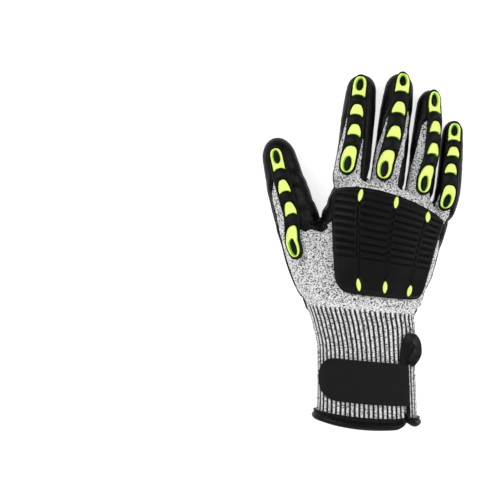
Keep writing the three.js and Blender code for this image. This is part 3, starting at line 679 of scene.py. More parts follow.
@dataclass(frozen=True)
class KnitFinish:
    """Fine marl knit of pale and dark yarn in upright columns of stitches, with painted shade in the gaps
    between stitches and, on the ribs, in the valleys between them.
    """

    name: str
    stitch_width: float = 1.5
    stitch_height: float = 1.05
    point: float = 0.55
    dark: float = 0.011
    middle: float = 0.26
    pale: float = 1.0
    mottle: float = 0.5
    contrast: float = 3.4
    lightness: float = 0.37
    # Share of full colour kept in the gaps between stitches; the rest is painted shade.
    painted_stitch_shade: float = 0.72
    ribbed: bool = False
    # Crest shares between which the painted shade in the rib valleys fades out.
    valley_shade_low: float = 0.34
    valley_shade_high: float = 0.76

    def stitches(self, graph: Graph, x: Value, y: Value) -> tuple[Value, Value]:
        """Colour number and height of each half stitch.

        Args:
            graph: Material's graph.
            x: Millimetres across the columns.
            y: Millimetres along the columns.

        Returns:
            A random number for each half stitch, and the height of its yarn.
        """
        column = x / self.stitch_width
        half = column * 2.0
        slant = abs(column.fract() - 0.5) * 2.0
        course = (y + slant * self.point) / self.stitch_height
        cell = graph.join(half.floor(), course.floor(), 0.0)
        random = graph.node("ShaderNodeTexWhiteNoise", {"noise_dimensions": "3D"}, {"Vector": cell})
        number = graph.out(random)
        round_x = abs(half.fract() - 0.5) * 2.0
        round_y = abs(course.fract() - 0.5) * 2.0
        height = (1.0 - round_x * round_x) * (1.0 - round_y * round_y * round_y)
        return number, height

    def build(self) -> Material:
        """Makes the material.

        Returns:
            The material.
        """
        graph = Graph(self.name, {"Sheen Weight": 0.25, "Sheen Roughness": 0.5, "Specular IOR Level": 0.2})
        if self.ribbed:
            x, y = graph.attribute("around"), graph.attribute("along")
            z: Value | float = 0.0
        else:
            x, y, z = graph.axes()
        wander = graph.noise(graph.join(x, y, z), 0.32, 3.0) - 0.5
        number, height = self.stitches(graph, x + wander * 0.5, y + wander * 0.7)
        flecks = graph.noise(graph.join(x * 0.8, y * 1.15, z), 0.95, 2.0, 0.75)
        clouds = graph.noise(graph.join(x, y, z), 0.2, 2.0) - 0.5
        shade = number * self.mottle + (flecks - 0.5) * self.contrast + self.lightness + clouds * 0.18
        stops = [(0.0, grey(self.dark)), (0.27, grey(self.dark * 1.5)), (0.42, grey(self.middle)),
                 (0.56, grey(self.pale * 0.8)), (0.74, grey(self.pale))]
        colour = graph.ramp(shade, stops)
        # Painted shade: the colour darkens towards the dark yarn in the gaps between stitches, where the
        # stitch height is low.
        shadow = self.painted_stitch_shade + height.rise(0.0, 0.45) * (1.0 - self.painted_stitch_shade)
        colour = graph.mix(1.0 - shadow, colour, grey(self.dark))
        if self.ribbed:
            # Painted shade: the ribbed cuff's colour darkens in the valleys between ribs.
            crest = graph.attribute("crest") + (flecks - 0.5) * 0.35
            painted_valley_shade = 1.0 - crest.rise(self.valley_shade_low, self.valley_shade_high)
            colour = graph.mix(painted_valley_shade, colour, grey(self.dark * 0.6))
        rough = 0.82 + graph.noise(graph.join(x, y, z), 0.9) * 0.16
        return graph.finish(colour, rough, graph.bump(height, 0.8, 0.35))


@dataclass(frozen=True)
class CoatingFinish:
    """Black nitrile: sandy and matt under the hand, smoother and darker over its sides, with painted shade
    along its seam and rib grooves.
    """

    name: str
    level: float = 0.0032
    sand: float = 0.0125
    # Colour of the painted shade in the pressed seam grooves and the rib grooves by the wrist edge.
    seam: float = 0.0016
    crumb: float = 0.55
    rough: float = 0.38

    def build(self) -> Material:
        """Makes the material.

        Returns:
            The material.
        """
        graph = Graph(self.name, {"Specular IOR Level": 0.11})
        place = graph.place()
        grains = graph.noise(place, 1.0 / self.crumb, 2.0, 0.7)
        waves = graph.noise(place, 0.11, 3.0)
        under = graph.attribute("under")
        smooth = graph.ramp(grains * 0.6 + waves * 0.4, [
            (0.3, grey(self.level * 0.6)), (0.55, grey(self.level)), (0.75, grey(self.level * 1.9)),
        ])
        sandy = graph.ramp(grains * 0.8 + waves * 0.2, [
            (0.32, grey(self.sand * 0.35)), (0.5, grey(self.sand)), (0.66, grey(self.sand * 2.6)),
        ])
        colour = graph.mix(under, smooth, sandy)
        # Painted shade: the colour darkens along the pressed seam grooves and the rib grooves near the wrist
        # edge.
        colour = graph.mix(graph.attribute("seam") * 0.85, colour, grey(self.seam))
        rough = self.rough + under * 0.25 + (waves - 0.5) * 0.2 + (grains - 0.5) * 0.2
        return graph.finish(colour, rough, graph.bump(grains, 0.6, 0.16))


@dataclass(frozen=True)
class GuardFinish:
    """Satin black moulded rubber."""

    name: str
    level: float = 0.0036
    rough: float = 0.48

    def build(self) -> Material:
        """Makes the material.

        Returns:
            The material.
        """
        graph = Graph(self.name, {"Specular IOR Level": 0.12})
        place = graph.place()
        skin = graph.noise(place, 2.6, 3.0, 0.6)
        clouds = graph.noise(place, 0.09, 2.0)
        colour = graph.ramp(clouds, [(0.3, grey(self.level * 0.8)), (0.7, grey(self.level * 1.25))])
        rough = self.rough + (clouds - 0.5) * 0.16 + (skin - 0.5) * 0.12
        return graph.finish(colour, rough, graph.bump(skin, 0.12, 0.06))


@dataclass(frozen=True)
class LimeFinish:
    """Lime moulded rubber, with painted shade in a darker green down its sides and lower edges."""

    name: str
    face: tuple[float, float, float, float] = (0.8, 0.92, 0.22, 1.0)
    # Darker green of the painted shade by the lower edges and round the holes.
    side: tuple[float, float, float, float] = (0.2, 0.58, 0.012, 1.0)

    def build(self) -> Material:
        """Makes the material.

        Returns:
            The material.
        """
        graph = Graph(self.name, {"Specular IOR Level": 0.3})
        place = graph.place()
        skin = graph.noise(place, 2.4, 3.0, 0.6)
        edge = graph.attribute("inside")
        face = graph.mix((skin - 0.35).rise(0.0, 0.5) * 0.35, self.face, (0.7, 0.9, 0.16, 1.0))
        # Painted shade: the lime face darkens to the side green where the stored share is low.
        colour = graph.mix(edge.rise(0.1, 0.85), self.side, face)
        rough = 0.42 + (skin - 0.5) * 0.2
        return graph.finish(colour, rough, graph.bump(skin, 0.1, 0.06))


@dataclass(frozen=True)
class ClothFinish:
    """Black brushed or woven cloth."""

    name: str
    level: float = 0.0052
    thread: float = 0.35
    rough: float = 0.88
    sheen: float = 0.02
    shine: float = 0.2

    def build(self) -> Material:
        """Makes the material.

        Returns:
            The material.
        """
        graph = Graph(self.name, {
            "Sheen Weight": self.sheen, "Sheen Roughness": 0.6, "Specular IOR Level": self.shine,
        })
        place = graph.place()
        fuzz = graph.noise(place, 1.0 / self.thread, 4.0, 0.7)
        clouds = graph.noise(place, 0.16, 3.0)
        colour = graph.ramp(fuzz * 0.7 + clouds * 0.3, [
            (0.3, grey(self.level * 0.55)), (0.5, grey(self.level)), (0.72, grey(self.level * 2.2)),
        ])
        rough = self.rough + (clouds - 0.5) * 0.12
        return graph.finish(colour, rough, graph.bump(fuzz, 0.4, 0.14))


@dataclass(frozen=True)
class FloorFinish:
    """Plain pale floor."""

    name: str = "pale_floor"
    level: float = 0.5
    glow: float = 0.78

    def build(self) -> Material:
        """Makes the material.

        Returns:
            The material.
        """
        graph = Graph(self.name, {
            "Specular IOR Level": 0.1, "Roughness": 0.9,
            "Emission Color": (1.0, 1.0, 1.0, 1.0), "Emission Strength": self.glow,
        })
        clouds = graph.noise(graph.place(), 0.004, 2.0)
        colour = graph.ramp(clouds, [(0.3, grey(self.level)), (0.7, grey(self.level * 1.03))])
        return graph.finish(colour)


def mesh_data(name: str, mesh: Mesh) -> bpy.types.Mesh:
    """Blender's own mesh of a shaped mesh, which is freed.

    Args:
        name: Its name.
        mesh: Shaped mesh.

    Returns:
        The new mesh.
    """
    data = bpy.data.meshes.new(name)
    mesh.to_mesh(data)
    mesh.free()
    return data


def add_object(name: str, data: bpy.types.ID) -> bpy.types.Object:
    """New object in the scene.

    Args:
        name: Its name.
        data: Its mesh, light or camera.

    Returns:
        The object.
    """
    item = bpy.data.objects.new(name, data)
    bpy.context.collection.objects.link(item)
    return item


class Workshop:
    """Turns shaped meshes into published pieces and keeps the finishes."""

    def __init__(self) -> None:
        """Builds every finish once."""
        self.finishes = {
            Slot.KNIT: KnitFinish("marl_knit").build(),
            Slot.COATING: CoatingFinish("sandy_coating").build(),
            Slot.GUARD: GuardFinish("moulded_guard").build(),
            Slot.LIME: LimeFinish("lime_rubber").build(),
            Slot.STRAP: ClothFinish("brushed_strap").build(),
            Slot.BINDING: ClothFinish("binding_tape", 0.0042, 0.5, 0.38, 0.0, 0.13).build(),
        }
        self.rib_finish = KnitFinish("ribbed_knit", 1.7, 1.15, ribbed=True, pale=1.0, lightness=0.42).build()

    def publish(
        self, name: str, mesh: Mesh, slot: Slot, nodes: Sequence[str],
        material: Material | None = None,
    ) -> bpy.types.Object:
        """Args:
            name: Piece's name.
            mesh: Shaped mesh in the layout's millimetres.
            slot: Record's material slot.
            nodes: CAD nodes that the piece stands for.
            material: Its finish, if it isn't the slot's own.

        Returns:
            The piece.
        """
        data = mesh_data(name, mesh)
        points = np.empty(len(data.vertices) * 3)
        data.vertices.foreach_get("co", points)
        points = (points.reshape(-1, 3) + LAYOUT_SHIFT) * MM
        data.vertices.foreach_set("co", points.ravel())
        data.shade_smooth()
        data.materials.append(material or self.finishes[slot])
        piece = add_object(name, data)
        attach(piece, "root")
        if nodes:
            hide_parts(*nodes)
        LOG.info("%s: %d faces", name, len(data.polygons))
        return piece


def shaped_grid(columns: int, rows: int, shape: Shape) -> Mesh:
    """Grid whose points are moved by a function of two shares.

    Args:
        columns: Cells along the first share.
        rows: Cells along the second share.
        shape: Takes both shares, from 0 to 1, and gives points.

    Returns:
        The shaped mesh.
    """
    mesh = bmesh.new()
    bmesh.ops.create_grid(mesh, x_segments=columns, y_segments=rows, size=0.5)
    move_points(mesh, lambda place: shape(place[:, 0] + 0.5, place[:, 1] + 0.5))
    return mesh


def flat_grid(low: Array, high: Array, cell: float) -> Mesh:
    """Flat grid of fine cells between two corners.

    Args:
        low: Corner with the lowest numbers.
        high: Corner with the highest.
        cell: Cell's size.

    Returns:
        The grid.
    """
    size = high - low
    columns, rows = np.ceil(size / cell).astype(int)
    return shaped_grid(
        int(columns), int(rows),
        lambda u, v: np.stack([low[0] + u * size[0], low[1] + v * size[1], u * 0], axis=-1),
    )


def places_of(mesh: Mesh) -> Array:
    """Points of a mesh, one row each."""
    return np.array([vert.co[:] for vert in mesh.verts])


def move_points(mesh: Mesh, shape: Move) -> None:
    """Moves every point of a mesh by a function of all its points."""
    for vert, place in zip(mesh.verts, shape(places_of(mesh))):
        vert.co = place


def store(mesh: Mesh, name: str, values: Array) -> None:
    """Keeps a number on each point for the finish to read.

    Args:
        mesh: Mesh to change.
        name: Attribute's name.
        values: One number for each point.
    """
    layer = mesh.verts.layers.float.get(name) or mesh.verts.layers.float.new(name)
    for vert, value in zip(mesh.verts, values):
        vert[layer] = value


def weld(mesh: Mesh, distance: float = 0.01) -> None:
    """Merges points that lie together, and points every face outwards."""
    bmesh.ops.remove_doubles(mesh, verts=mesh.verts, dist=distance)
    bmesh.ops.recalc_face_normals(mesh, faces=mesh.faces)


def close_tube(mesh: Mesh, distance: float = 0.01) -> None:
    """Merges a tube's seam and fills its open ends.

    Args:
        mesh: Mesh to change.
        distance: Points nearer than this are merged.
    """
    weld(mesh, distance)
    rim = [edge for edge in mesh.edges if edge.is_boundary]
    bmesh.ops.holes_fill(mesh, edges=rim, sides=0)
    bmesh.ops.recalc_face_normals(mesh, faces=mesh.faces)


def cut_below(mesh: Mesh, y: float, slope: float = 0.0) -> None:
    """Cuts away what lies nearer the hem than a line across the hand.

    Args:
        mesh: Mesh to change.
        y: Where the line crosses the middle.
        slope: The line's slope towards the hem.
    """
    bmesh.ops.bisect_plane(
        mesh, geom=mesh.verts[:] + mesh.edges[:] + mesh.faces[:], dist=0.01,
        plane_co=(0.0, y, 0.0), plane_no=(slope, 1.0, 0.0), clear_inner=True,
    )


def upright(mesh: Mesh) -> None:
    """Turns a raised cut-out so that its top faces up.

    Args:
        mesh: Mesh to change.
    """
    bmesh.ops.recalc_face_normals(mesh, faces=mesh.faces)
    mesh.normal_update()
    if sum(face.normal.z * face.calc_area() for face in mesh.faces) < 0:
        bmesh.ops.reverse_faces(mesh, faces=mesh.faces)


def carve(mesh: Mesh, values: Array) -> None:
    """Cuts a mesh along the line where a value is zero and keeps the side where it is positive.

    Args:
        mesh: Mesh to cut.
        values: One value for each point.
    """
    layer = mesh.verts.layers.float.new("carve")
    for vert, value in zip(mesh.verts, values):
        vert[layer] = value if abs(value) > SNAP else math.copysign(SNAP, value)
    crossing = [e for e in mesh.edges if (e.verts[0][layer] > 0) != (e.verts[1][layer] > 0)]
    cut = []
    for edge in crossing:
        first, second = edge.verts
        share = first[layer] / (first[layer] - second[layer])
        vert = bmesh.utils.edge_split(edge, first, share)[1]
        vert[layer] = 0.0
        cut.append(vert)
    bmesh.ops.connect_verts(mesh, verts=cut)
    bmesh.ops.delete(mesh, geom=[v for v in mesh.verts if v[layer] < 0], context="VERTS")
    mesh.verts.layers.float.remove(mesh.verts.layers.float["carve"])


def skirt(mesh: Mesh, shape: Move) -> None:
    """Draws a wall down from every open edge.

    Args:
        mesh: Open mesh.
        shape: Gives the wall's foot from the points of the open edge.
    """
    rim = [edge for edge in mesh.edges if edge.is_boundary]
    made = bmesh.ops.extrude_edge_only(mesh, edges=rim)["geom"]
    feet = [item for item in made if isinstance(item, bmesh.types.BMVert)]
    for vert, place in zip(feet, shape(np.array([vert.co[:] for vert in feet]))):
        vert.co = place


def raise_cutout(mesh: Mesh, height: Move, foot: float, surface: Surface) -> None:
    """Gives a flat cut-out its heights and its side walls, and lays it over a surface.

    Args:
        mesh: Flat cut-out.
        height: Gives heights from flat places.
        foot: Height of the walls' feet.
        surface: Gives points from distances across and along, and heights.
    """
    move_points(mesh, lambda place: np.column_stack([place[:, :2], height(place[:, :2])]))
    skirt(mesh, lambda place: np.column_stack([place[:, :2], np.full(len(place), foot)]))
    move_points(mesh, lambda place: surface(place[:, 0], place[:, 1], place[:, 2]))
    upright(mesh)


def turned_flat(flat: Array, spot: Sequence[float], lean: float) -> Array:
    """Flat places as they lie from a spot, turned by a lean."""
    cosine, sine = math.cos(lean), math.sin(lean)
    return (flat - spot) @ np.array([(cosine, -sine), (sine, cosine)])


def relax(mesh: Mesh, rounds: int, chosen: Sequence[bmesh.types.BMVert] | None = None) -> None:
    """Smooths all of a mesh, or the chosen points.

    Args:
        mesh: Mesh to change.
        rounds: How many times.
        chosen: Points to smooth, if not all.
    """
    for _ in range(rounds):
        bmesh.ops.smooth_vert(
            mesh, verts=chosen or mesh.verts, factor=0.5, use_axis_x=True, use_axis_y=True, use_axis_z=True,
        )


DIGIT_WINDOWS = {
    "index": (
        (-0.16, 0.95, 1.35), (-0.085, 0.95, 1.25), (-0.05, 0.95, 0.85), (-0.02, 0.95, 0.5),
        (0.1, 0.935, 0.42), (0.2, 0.92, 0.4), (0.33, 0.85, 0.38), (0.42, 0.79, 0.3), (0.52, 0.7, 0.25),
        (0.62, 0.56, 0.2), (0.675, 0.4, 0.2),
    ),
    "middle": (
        (-0.16, 1.35, 1.35), (-0.09, 1.35, 1.25), (-0.055, 1.3, 0.85), (-0.025, 1.2, 0.58), (0.04, 1.1, 0.56),
        (0.124, 0.98, 0.61), (0.207, 0.9, 0.66), (0.29, 0.88, 0.72), (0.373, 0.78, 0.75), (0.456, 0.7, 0.78),
        (0.54, 0.59, 0.79), (0.62, 0.42, 0.77), (0.66, 0.2, 0.7),
    ),
    "ring": (
        (-0.16, 1.35, 1.35), (-0.07, 1.35, 1.15), (-0.01, 1.3, 0.8), (0.05, 1.1, 0.5), (0.125, 0.91, 0.4),
        (0.21, 0.835, 0.4), (0.3, 0.76, 0.4), (0.384, 0.66, 0.4), (0.47, 0.575, 0.4), (0.556, 0.53, 0.4),
        (0.643, 0.47, 0.4), (0.69, 0.22, 0.3),
    ),
    "little": (
        (-0.16, 1.35, 0.62), (-0.07, 1.15, 0.6), (0.0, 0.9, 0.45), (0.06, 0.72, 0.35), (0.15, 0.66, 0.3),
        (0.24, 0.45, 0.2),
    ),
    "thumb": (
        (0.1, 1.4, 0.6), (0.3, 1.3, 0.6), (0.39, 1.1, 0.3), (0.45, 0.97, -0.1), (0.52, 0.86, -0.15),
        (0.68, 0.82, -0.15), (0.77, 0.5, -0.3),
    ),
}

HAND_WINDOW = (
    (-0.45, -0.8, 0.42), (-0.1, -0.8, 0.42), (0.14, -0.75, 0.455), (0.34, -0.66, 0.525), (0.44, -0.57, 0.55),
    (0.55, -0.49, 0.58), (0.575, -0.42, 0.585), (0.585, -0.36, 0.585), (0.615, -0.31, 0.585),
    (0.65, -0.27, 0.585), (0.76, -0.25, 0.59), (0.93, -0.212, 0.615), (0.99, -0.215, 0.655),
)

WEB_PATCH = ((-37.0, 147.0), (9.5, 5.5), -0.45)

WRIST_EDGE = (
    (-1.2, 1.2), (-0.68, 1.13), (-0.36, 0.91), (-0.04, 0.77), (0.2, 0.8), (0.45, 0.94), (0.8, 1.02),
)

PADS = {
    "centre": (
        (0.8, 0.55), (0.44, 0.57), (0.1, 0.67), (-0.24, 0.76), (-0.36, 0.7), (-0.32, 0.46), (-0.38, 0.3),
        (-0.12, 0.0), (0.13, 0.18), (0.19, 0.4), (0.3, 0.47), (0.44, 0.48), (0.8, 0.46),
    ),
    "heel": (
        (0.36, 0.35), (0.43, 0.27), (0.44, 0.13), (0.36, -0.01), (0.24, -0.04), (0.2, 0.11), (0.25, 0.28),
    ),
    "knuckles": (
        (0.8, 0.73), (0.32, 0.76), (0.2, 0.8), (-0.02, 0.815), (-0.29, 0.84), (-0.33, 0.8), (-0.29, 0.765),
        (0.1, 0.7), (0.48, 0.625), (0.8, 0.6),
    ),
}


def rounded(corners: Array, rounds: int = 3) -> Array:
    """Closed outline with its corners cut round.

    Args:
        corners: Corners in order.
        rounds: How many times they are cut.

    Returns:
        The finer outline.
    """
    for _ in range(rounds):
        after = np.roll(corners, -1, axis=0)
        pairs = [corners * 0.75 + after * 0.25, corners * 0.25 + after * 0.75]
        corners = np.stack(pairs, axis=1).reshape(-1, 2)
    return corners


@dataclass
class HandBody:
    """Full form of the hand, which the knitting, the coating and the lining are cut from."""

    hand: HandForm
    digits: Mapping[str, Digit]
    voxel: float = 1.15
    lining_voxel: float = 2.2
    blend_reach: float = 11.0
    palm_cells: tuple[int, int] = (72, 90)
    digit_cells: tuple[int, int] = (48, 80)
    bunching: float = 1.4
    digit_window_height: float = 0.6
    back_window_height: float = 0.5
    wave_reach: float = 3.0
    edge_waves: Rows = ((5.0, 3.1, 0.55), (1.6, 8.4, 0.22))

    def closed_forms(self, offset: float, start: float) -> Mesh:
        """Palm and digits as closed forms that run into each other.

        Args:
            offset: Distance outside the knitting.
            start: Where the palm's form starts, from the hem.

        Returns:
            All forms in one mesh.
        """
        whole = bmesh.new()
        end = self.hand.web_y + offset
        forms = [shaped_grid(
            *self.palm_cells, lambda u, v: self.hand.point(start + v * (end - start), u * math.tau, offset))]
        for digit in self.digits.values():
            first = digit.rows[0][0] - offset / digit.length
            forms.append(shaped_grid(*self.digit_cells, lambda u, v, d=digit, f=first: d.point(
                f + (1 - (1 - v) ** self.bunching) * (1 - f), u * math.tau, offset)))
        for form in forms:
            close_tube(form)
            data = mesh_data("form", form)
            whole.from_mesh(data)
            bpy.data.meshes.remove(data)
        return whole

    def joined(self, offset: float, start: float, voxel: float, rounds: int) -> Mesh:
        """One skin over all the forms.

        Args:
            offset: Distance outside the knitting.
            start: Where the palm's form starts, from the hem.
            voxel: Cell size of the skin.
            rounds: Rounds of smoothing.

        Returns:
            The skin, with its webs blended.
        """
        data = mesh_data("forms", self.closed_forms(offset, start))
        holder = add_object("forms", data)
        modifier = holder.modifiers.new("skin", "REMESH")
        modifier.mode = "VOXEL"
        modifier.voxel_size = voxel
        ready = holder.evaluated_get(bpy.context.evaluated_depsgraph_get())
        skin = bmesh.new()
        skin.from_mesh(ready.to_mesh())
        ready.to_mesh_clear()
        bpy.data.objects.remove(holder)
        bpy.data.meshes.remove(data)
        relax(skin, rounds)
        places = places_of(skin)
        near = np.zeros(len(places), dtype=bool)
        for spot in self.crotches():
            near |= np.linalg.norm(places[:, :2] - spot, axis=1) < self.blend_reach
        relax(skin, rounds * 3, [vert for vert, is_near in zip(skin.verts, near) if is_near])
        return skin

    def crotches(self) -> list[Array]:
        """Places from above where a digit meets its neighbour or the palm.

        Returns:
            One place for each meeting.
        """
        names = list(FINGER_SIZES)
        spots = []
        for first, second in zip(names, names[1:]):
            left = self.digits[first].frame(np.array([0.02]))[0][0]
            right = self.digits[second].frame(np.array([0.02]))[0][0]
            spots.append((left[:2] + right[:2]) / 2)
        thumb, _, _, half, _ = self.digits["thumb"].frame(np.array([0.16, 0.34, 0.46]))
        spots += [place[:2] + (wide * 0.9, 0.0) for place, wide in zip(thumb, half)]
        return spots

    def windows(self) -> list[tuple[Array, float]]:
        """Outlines from above of what the coating leaves clear, and the lowest height of each.

        Returns:
            Outlines and heights.
        """
        clear = []
        for name, rows in DIGIT_WINDOWS.items():
            digit = self.digits[name]
            clear.append((self._window(digit, rows), digit.depth * self.digit_window_height))
        wide = self.hand.palm_width
        left_side = [self.hand.flat_point(up, left * wide) for up, left, _ in HAND_WINDOW]
        right_side = [self.hand.flat_point(up, right * wide) for up, _, right in HAND_WINDOW]
        outline = np.array(left_side + right_side[::-1])
        clear.append((outline, self.hand.sizes.palm_depth * self.back_window_height))
        return clear

    @staticmethod
    def _window(digit: Digit, rows: Rows) -> Array:
        """Outline from above of a window along a digit's back.

        Args:
            digit: Digit that it lies on.
            rows: Shares along, and to each side.

        Returns:
            Its corners in order.
        """
        along = np.array([row[0] for row in rows])
        centre, across, _, half, _ = digit.frame(along)
        reach = (half + COAT_OUTSIDE)[:, None]
        left = centre - across * reach * np.array([row[1] for row in rows])[:, None]
        right = centre + across * reach * np.array([row[2] for row in rows])[:, None]
        return np.concatenate([left, right[::-1]])[:, :2]

    def coat_reach(self, places: Array) -> Array:
        """How far inside the coating's edge each point lies.

        Args:
            places: Points on the hand.

        Returns:
            Millimetres, negative where the knitting is bare.
        """
        reach = np.full(len(places), FAR)
        flat = places[:, :2]
        for outline, height in self.windows():
            inside = np.minimum(polygon_distance(flat, outline), (places[:, 2] - height) * 1.5)
            reach = np.minimum(reach, -inside)
        middle, half, lean = WEB_PATCH
        turned = turned_flat(flat, middle, lean)
        patch = (1.0 - np.hypot(turned[:, 0] / half[0], turned[:, 1] / half[1])) * min(half)
        reach = np.maximum(reach, patch)
        edge = np.array(WRIST_EDGE) * (self.hand.palm_width, self.hand.sizes.cuff_length)
        curve = Sections(edge[:, 0], y=edge[:, 1])
        reach = np.minimum(reach, (places[:, 1] - curve.value("y", places[:, 0])) * 0.9)
        close = np.abs(reach) < self.wave_reach
        wave = np.zeros(len(places))
        wave[close] = ripples(places[close], *self.edge_waves)
        return reach + wave


@dataclass
class KnittedHand:
    """Bare knitting of the hand, the rib cuff below it and the lining inside."""

    body: HandBody
    shop: Workshop
    rib_start: float = 86.5
    rib_slope: float = 0.09
    rib_count: int = 52
    rib_depth: float = 1.0
    rib_cells: int = 8
    foot: float = 2.6
    lining_foot: float = 6.3
    slit_turn: float = SLIT_TURN
    slit_length: float = 46.0
    slit_width: float = 2.4
    slit_foot_flare: float = 1.8
    slit_head_flare: float = 0.6
    slit_drop: float = 8.0
    turn_steps: int = 1440
    ring_y: float = 40.0
    rib_overlap: float = 2.5
    rib_pitch: float = 3.4
    crest_round: float = 0.75
    cuff_rows: int = 64
    lean: float = 0.012
    palm_lean: float = 0.09
    lean_from: float = 6.0
    overlap: float = 3.5
    tuck: float = 0.45
    folds: Rows = ((26.0, 1.7, 0.55), (9.0, 5.2, 0.16))

    def build(self, skin: Mesh) -> None:
        """Makes the three pieces.

        Args:
            skin: Skin of the whole hand.
        """
        self.shop.publish("knit_hand", self.hand_piece(skin.copy()), Slot.KNIT, ["knitted_shell"])
        self.shop.publish("rib_cuff", self.cuff_piece(), Slot.KNIT, [], self.shop.rib_finish)
        self.shop.publish("knit_lining", self.lining_piece(), Slot.KNIT, [])

    def hand_piece(self, mesh: Mesh) -> Mesh:
        """Cuts the skin above the ribs, away from under the coating, and gives it soft folds.

        Args:
            mesh: Skin of the whole hand.

        Returns:
            The cut skin.
        """
        cut_below(mesh, self.rib_start, self.rib_slope)
        places = places_of(mesh)
        carve(mesh, self.overlap - self.body.coat_reach(places))
        mesh.normal_update()
        places = places_of(mesh)
        above = places[:, 1] + self.rib_slope * places[:, 0] - self.rib_start
        tuck = (1.0 - smooth_step(0.0, 4.0, above)) * self.tuck
        move = ripples(places, *self.folds) * smooth_step(2.0, 14.0, above) - tuck
        for vert, amount in zip(mesh.verts, move):
            vert.co += vert.normal * amount
        return mesh

    def turn_table(self) -> tuple[Array, Array]:
        """Share of the way round the cuff against turn, by length along its outline.

        Returns:
            Shares and turns.
        """
        turns = np.linspace(0.0, math.tau, self.turn_steps + 1)
        ring = self.body.hand.point(np.full_like(turns, self.ring_y), turns, 0.0)
        steps = np.linalg.norm(np.diff(ring, axis=0), axis=1)
        return np.concatenate([[0.0], np.cumsum(steps)]) / steps.sum(), turns

    def slit_reach(self, places: Array) -> Array:
        """Distance from the slit's opening, negative inside it.

        Args:
            places: Points on the hand, one row each.

        Returns:
            One distance for each point.
        """
        foot, head = self.body.hand.point(np.array([0.0, self.slit_length]), self.slit_turn, 0.0)
        half = self.slit_width / 2
        wide, narrow, low = half * self.slit_foot_flare, half * self.slit_head_flare, foot[1] - self.slit_drop
        corners = np.array([
            (foot[0] - wide, low), (foot[0] + wide, low),
            (head[0] + narrow, head[1]), (head[0] - narrow, head[1]),
        ])
        return -np.minimum(polygon_distance(places[:, :2], corners), places[:, 2] - CUFF_MIDDLE_Z)

    def cuff_piece(self) -> Mesh:
        """Ribbed cuff: narrow valleys between rounded ribs.

        Returns:
            The cuff.
        """
        shares, turns = self.turn_table()
        top = self.rib_start + self.rib_overlap

        def crest_at(u: Array) -> Array:
            """Height share of the ribs round the cuff."""
            return (0.5 - 0.5 * np.cos(u * math.tau * self.rib_count)) ** self.crest_round

        def shape(u: Array, v: Array) -> Array:
            """Point on the ribs.

            Args:
                u: Shares of the way round.
                v: Shares of the way up.

            Returns:
                Points, one row each.
            """
            y = self.foot + v * (top - self.foot)
            fade = 1.0 - smooth_step(self.rib_start - 4.0, self.rib_start, y)
            offset = -0.1 - self.rib_depth * (1.0 - crest_at(u)) * fade - (1.0 - fade) * 0.25
            above = np.maximum(y - self.lean_from, 0.0) / (top - self.lean_from)
            facing = np.cos(u * math.tau)
            u = u - np.where(facing > 0, self.lean, self.palm_lean) * facing * above ** 1.15
            turn = np.interp(u % 1.0, shares, turns)
            return self.body.hand.point(y, turn, offset)

        cells = self.rib_count * self.rib_cells
        mesh = shaped_grid(cells, self.cuff_rows, lambda u, v: np.stack([u, v, u * 0], axis=-1))
        flat = places_of(mesh)
        along = self.foot + flat[:, 1] * (top - self.foot)
        fade = 1.0 - smooth_step(self.rib_start - 3.5, self.rib_start - 0.5, along)
        store(mesh, "around", flat[:, 0] * self.rib_count * self.rib_pitch)
        store(mesh, "along", along)
        store(mesh, "crest", 1.0 - (1.0 - crest_at(flat[:, 0])) * fade)
        move_points(mesh, lambda place: shape(place[:, 0], place[:, 1]))
        bmesh.ops.recalc_face_normals(mesh, faces=mesh.faces)
        carve(mesh, self.slit_reach(places_of(mesh)))

        def inner(points: Array) -> Array:
            """Edge of the ribs where it meets the lining.

            Args:
                points: Points on the open edge.

            Returns:
                Points, one row each.
            """
            toward = (points - (0.0, 0.0, CUFF_MIDDLE_Z)) * (1.0, 0.0, 1.0)
            depth = KNIT_WALL - self.rib_depth * 0.2
            return points - toward / np.linalg.norm(toward, axis=1)[:, None] * depth

        skirt(mesh, inner)
        return outward(mesh)

    def lining_piece(self) -> Mesh:
        """Inside of the knitting, from the hem to the fingertips.

        Returns:
            The lining.
        """
        mesh = self.body.joined(-KNIT_WALL, -4.0, self.body.lining_voxel, 2)
        cut_below(mesh, self.lining_foot)
        carve(mesh, self.slit_reach(places_of(mesh)))
        bmesh.ops.recalc_face_normals(mesh, faces=mesh.faces)
        outward(mesh)
        bmesh.ops.reverse_faces(mesh, faces=mesh.faces)
        return mesh


def outward(mesh: Mesh) -> Mesh:
    """Turns an open mesh so that its faces point away from the cuff's middle line.

    Args:
        mesh: Mesh to change.

    Returns:
        The same mesh.
    """
    mesh.normal_update()
    total = 0.0
    for face in mesh.faces:
        middle = face.calc_center_median()
        total += face.normal.dot(Vector((middle.x, 0.0, middle.z - CUFF_MIDDLE_Z))) * face.calc_area()
    if total < 0:
        bmesh.ops.reverse_faces(mesh, faces=mesh.faces)
    return mesh


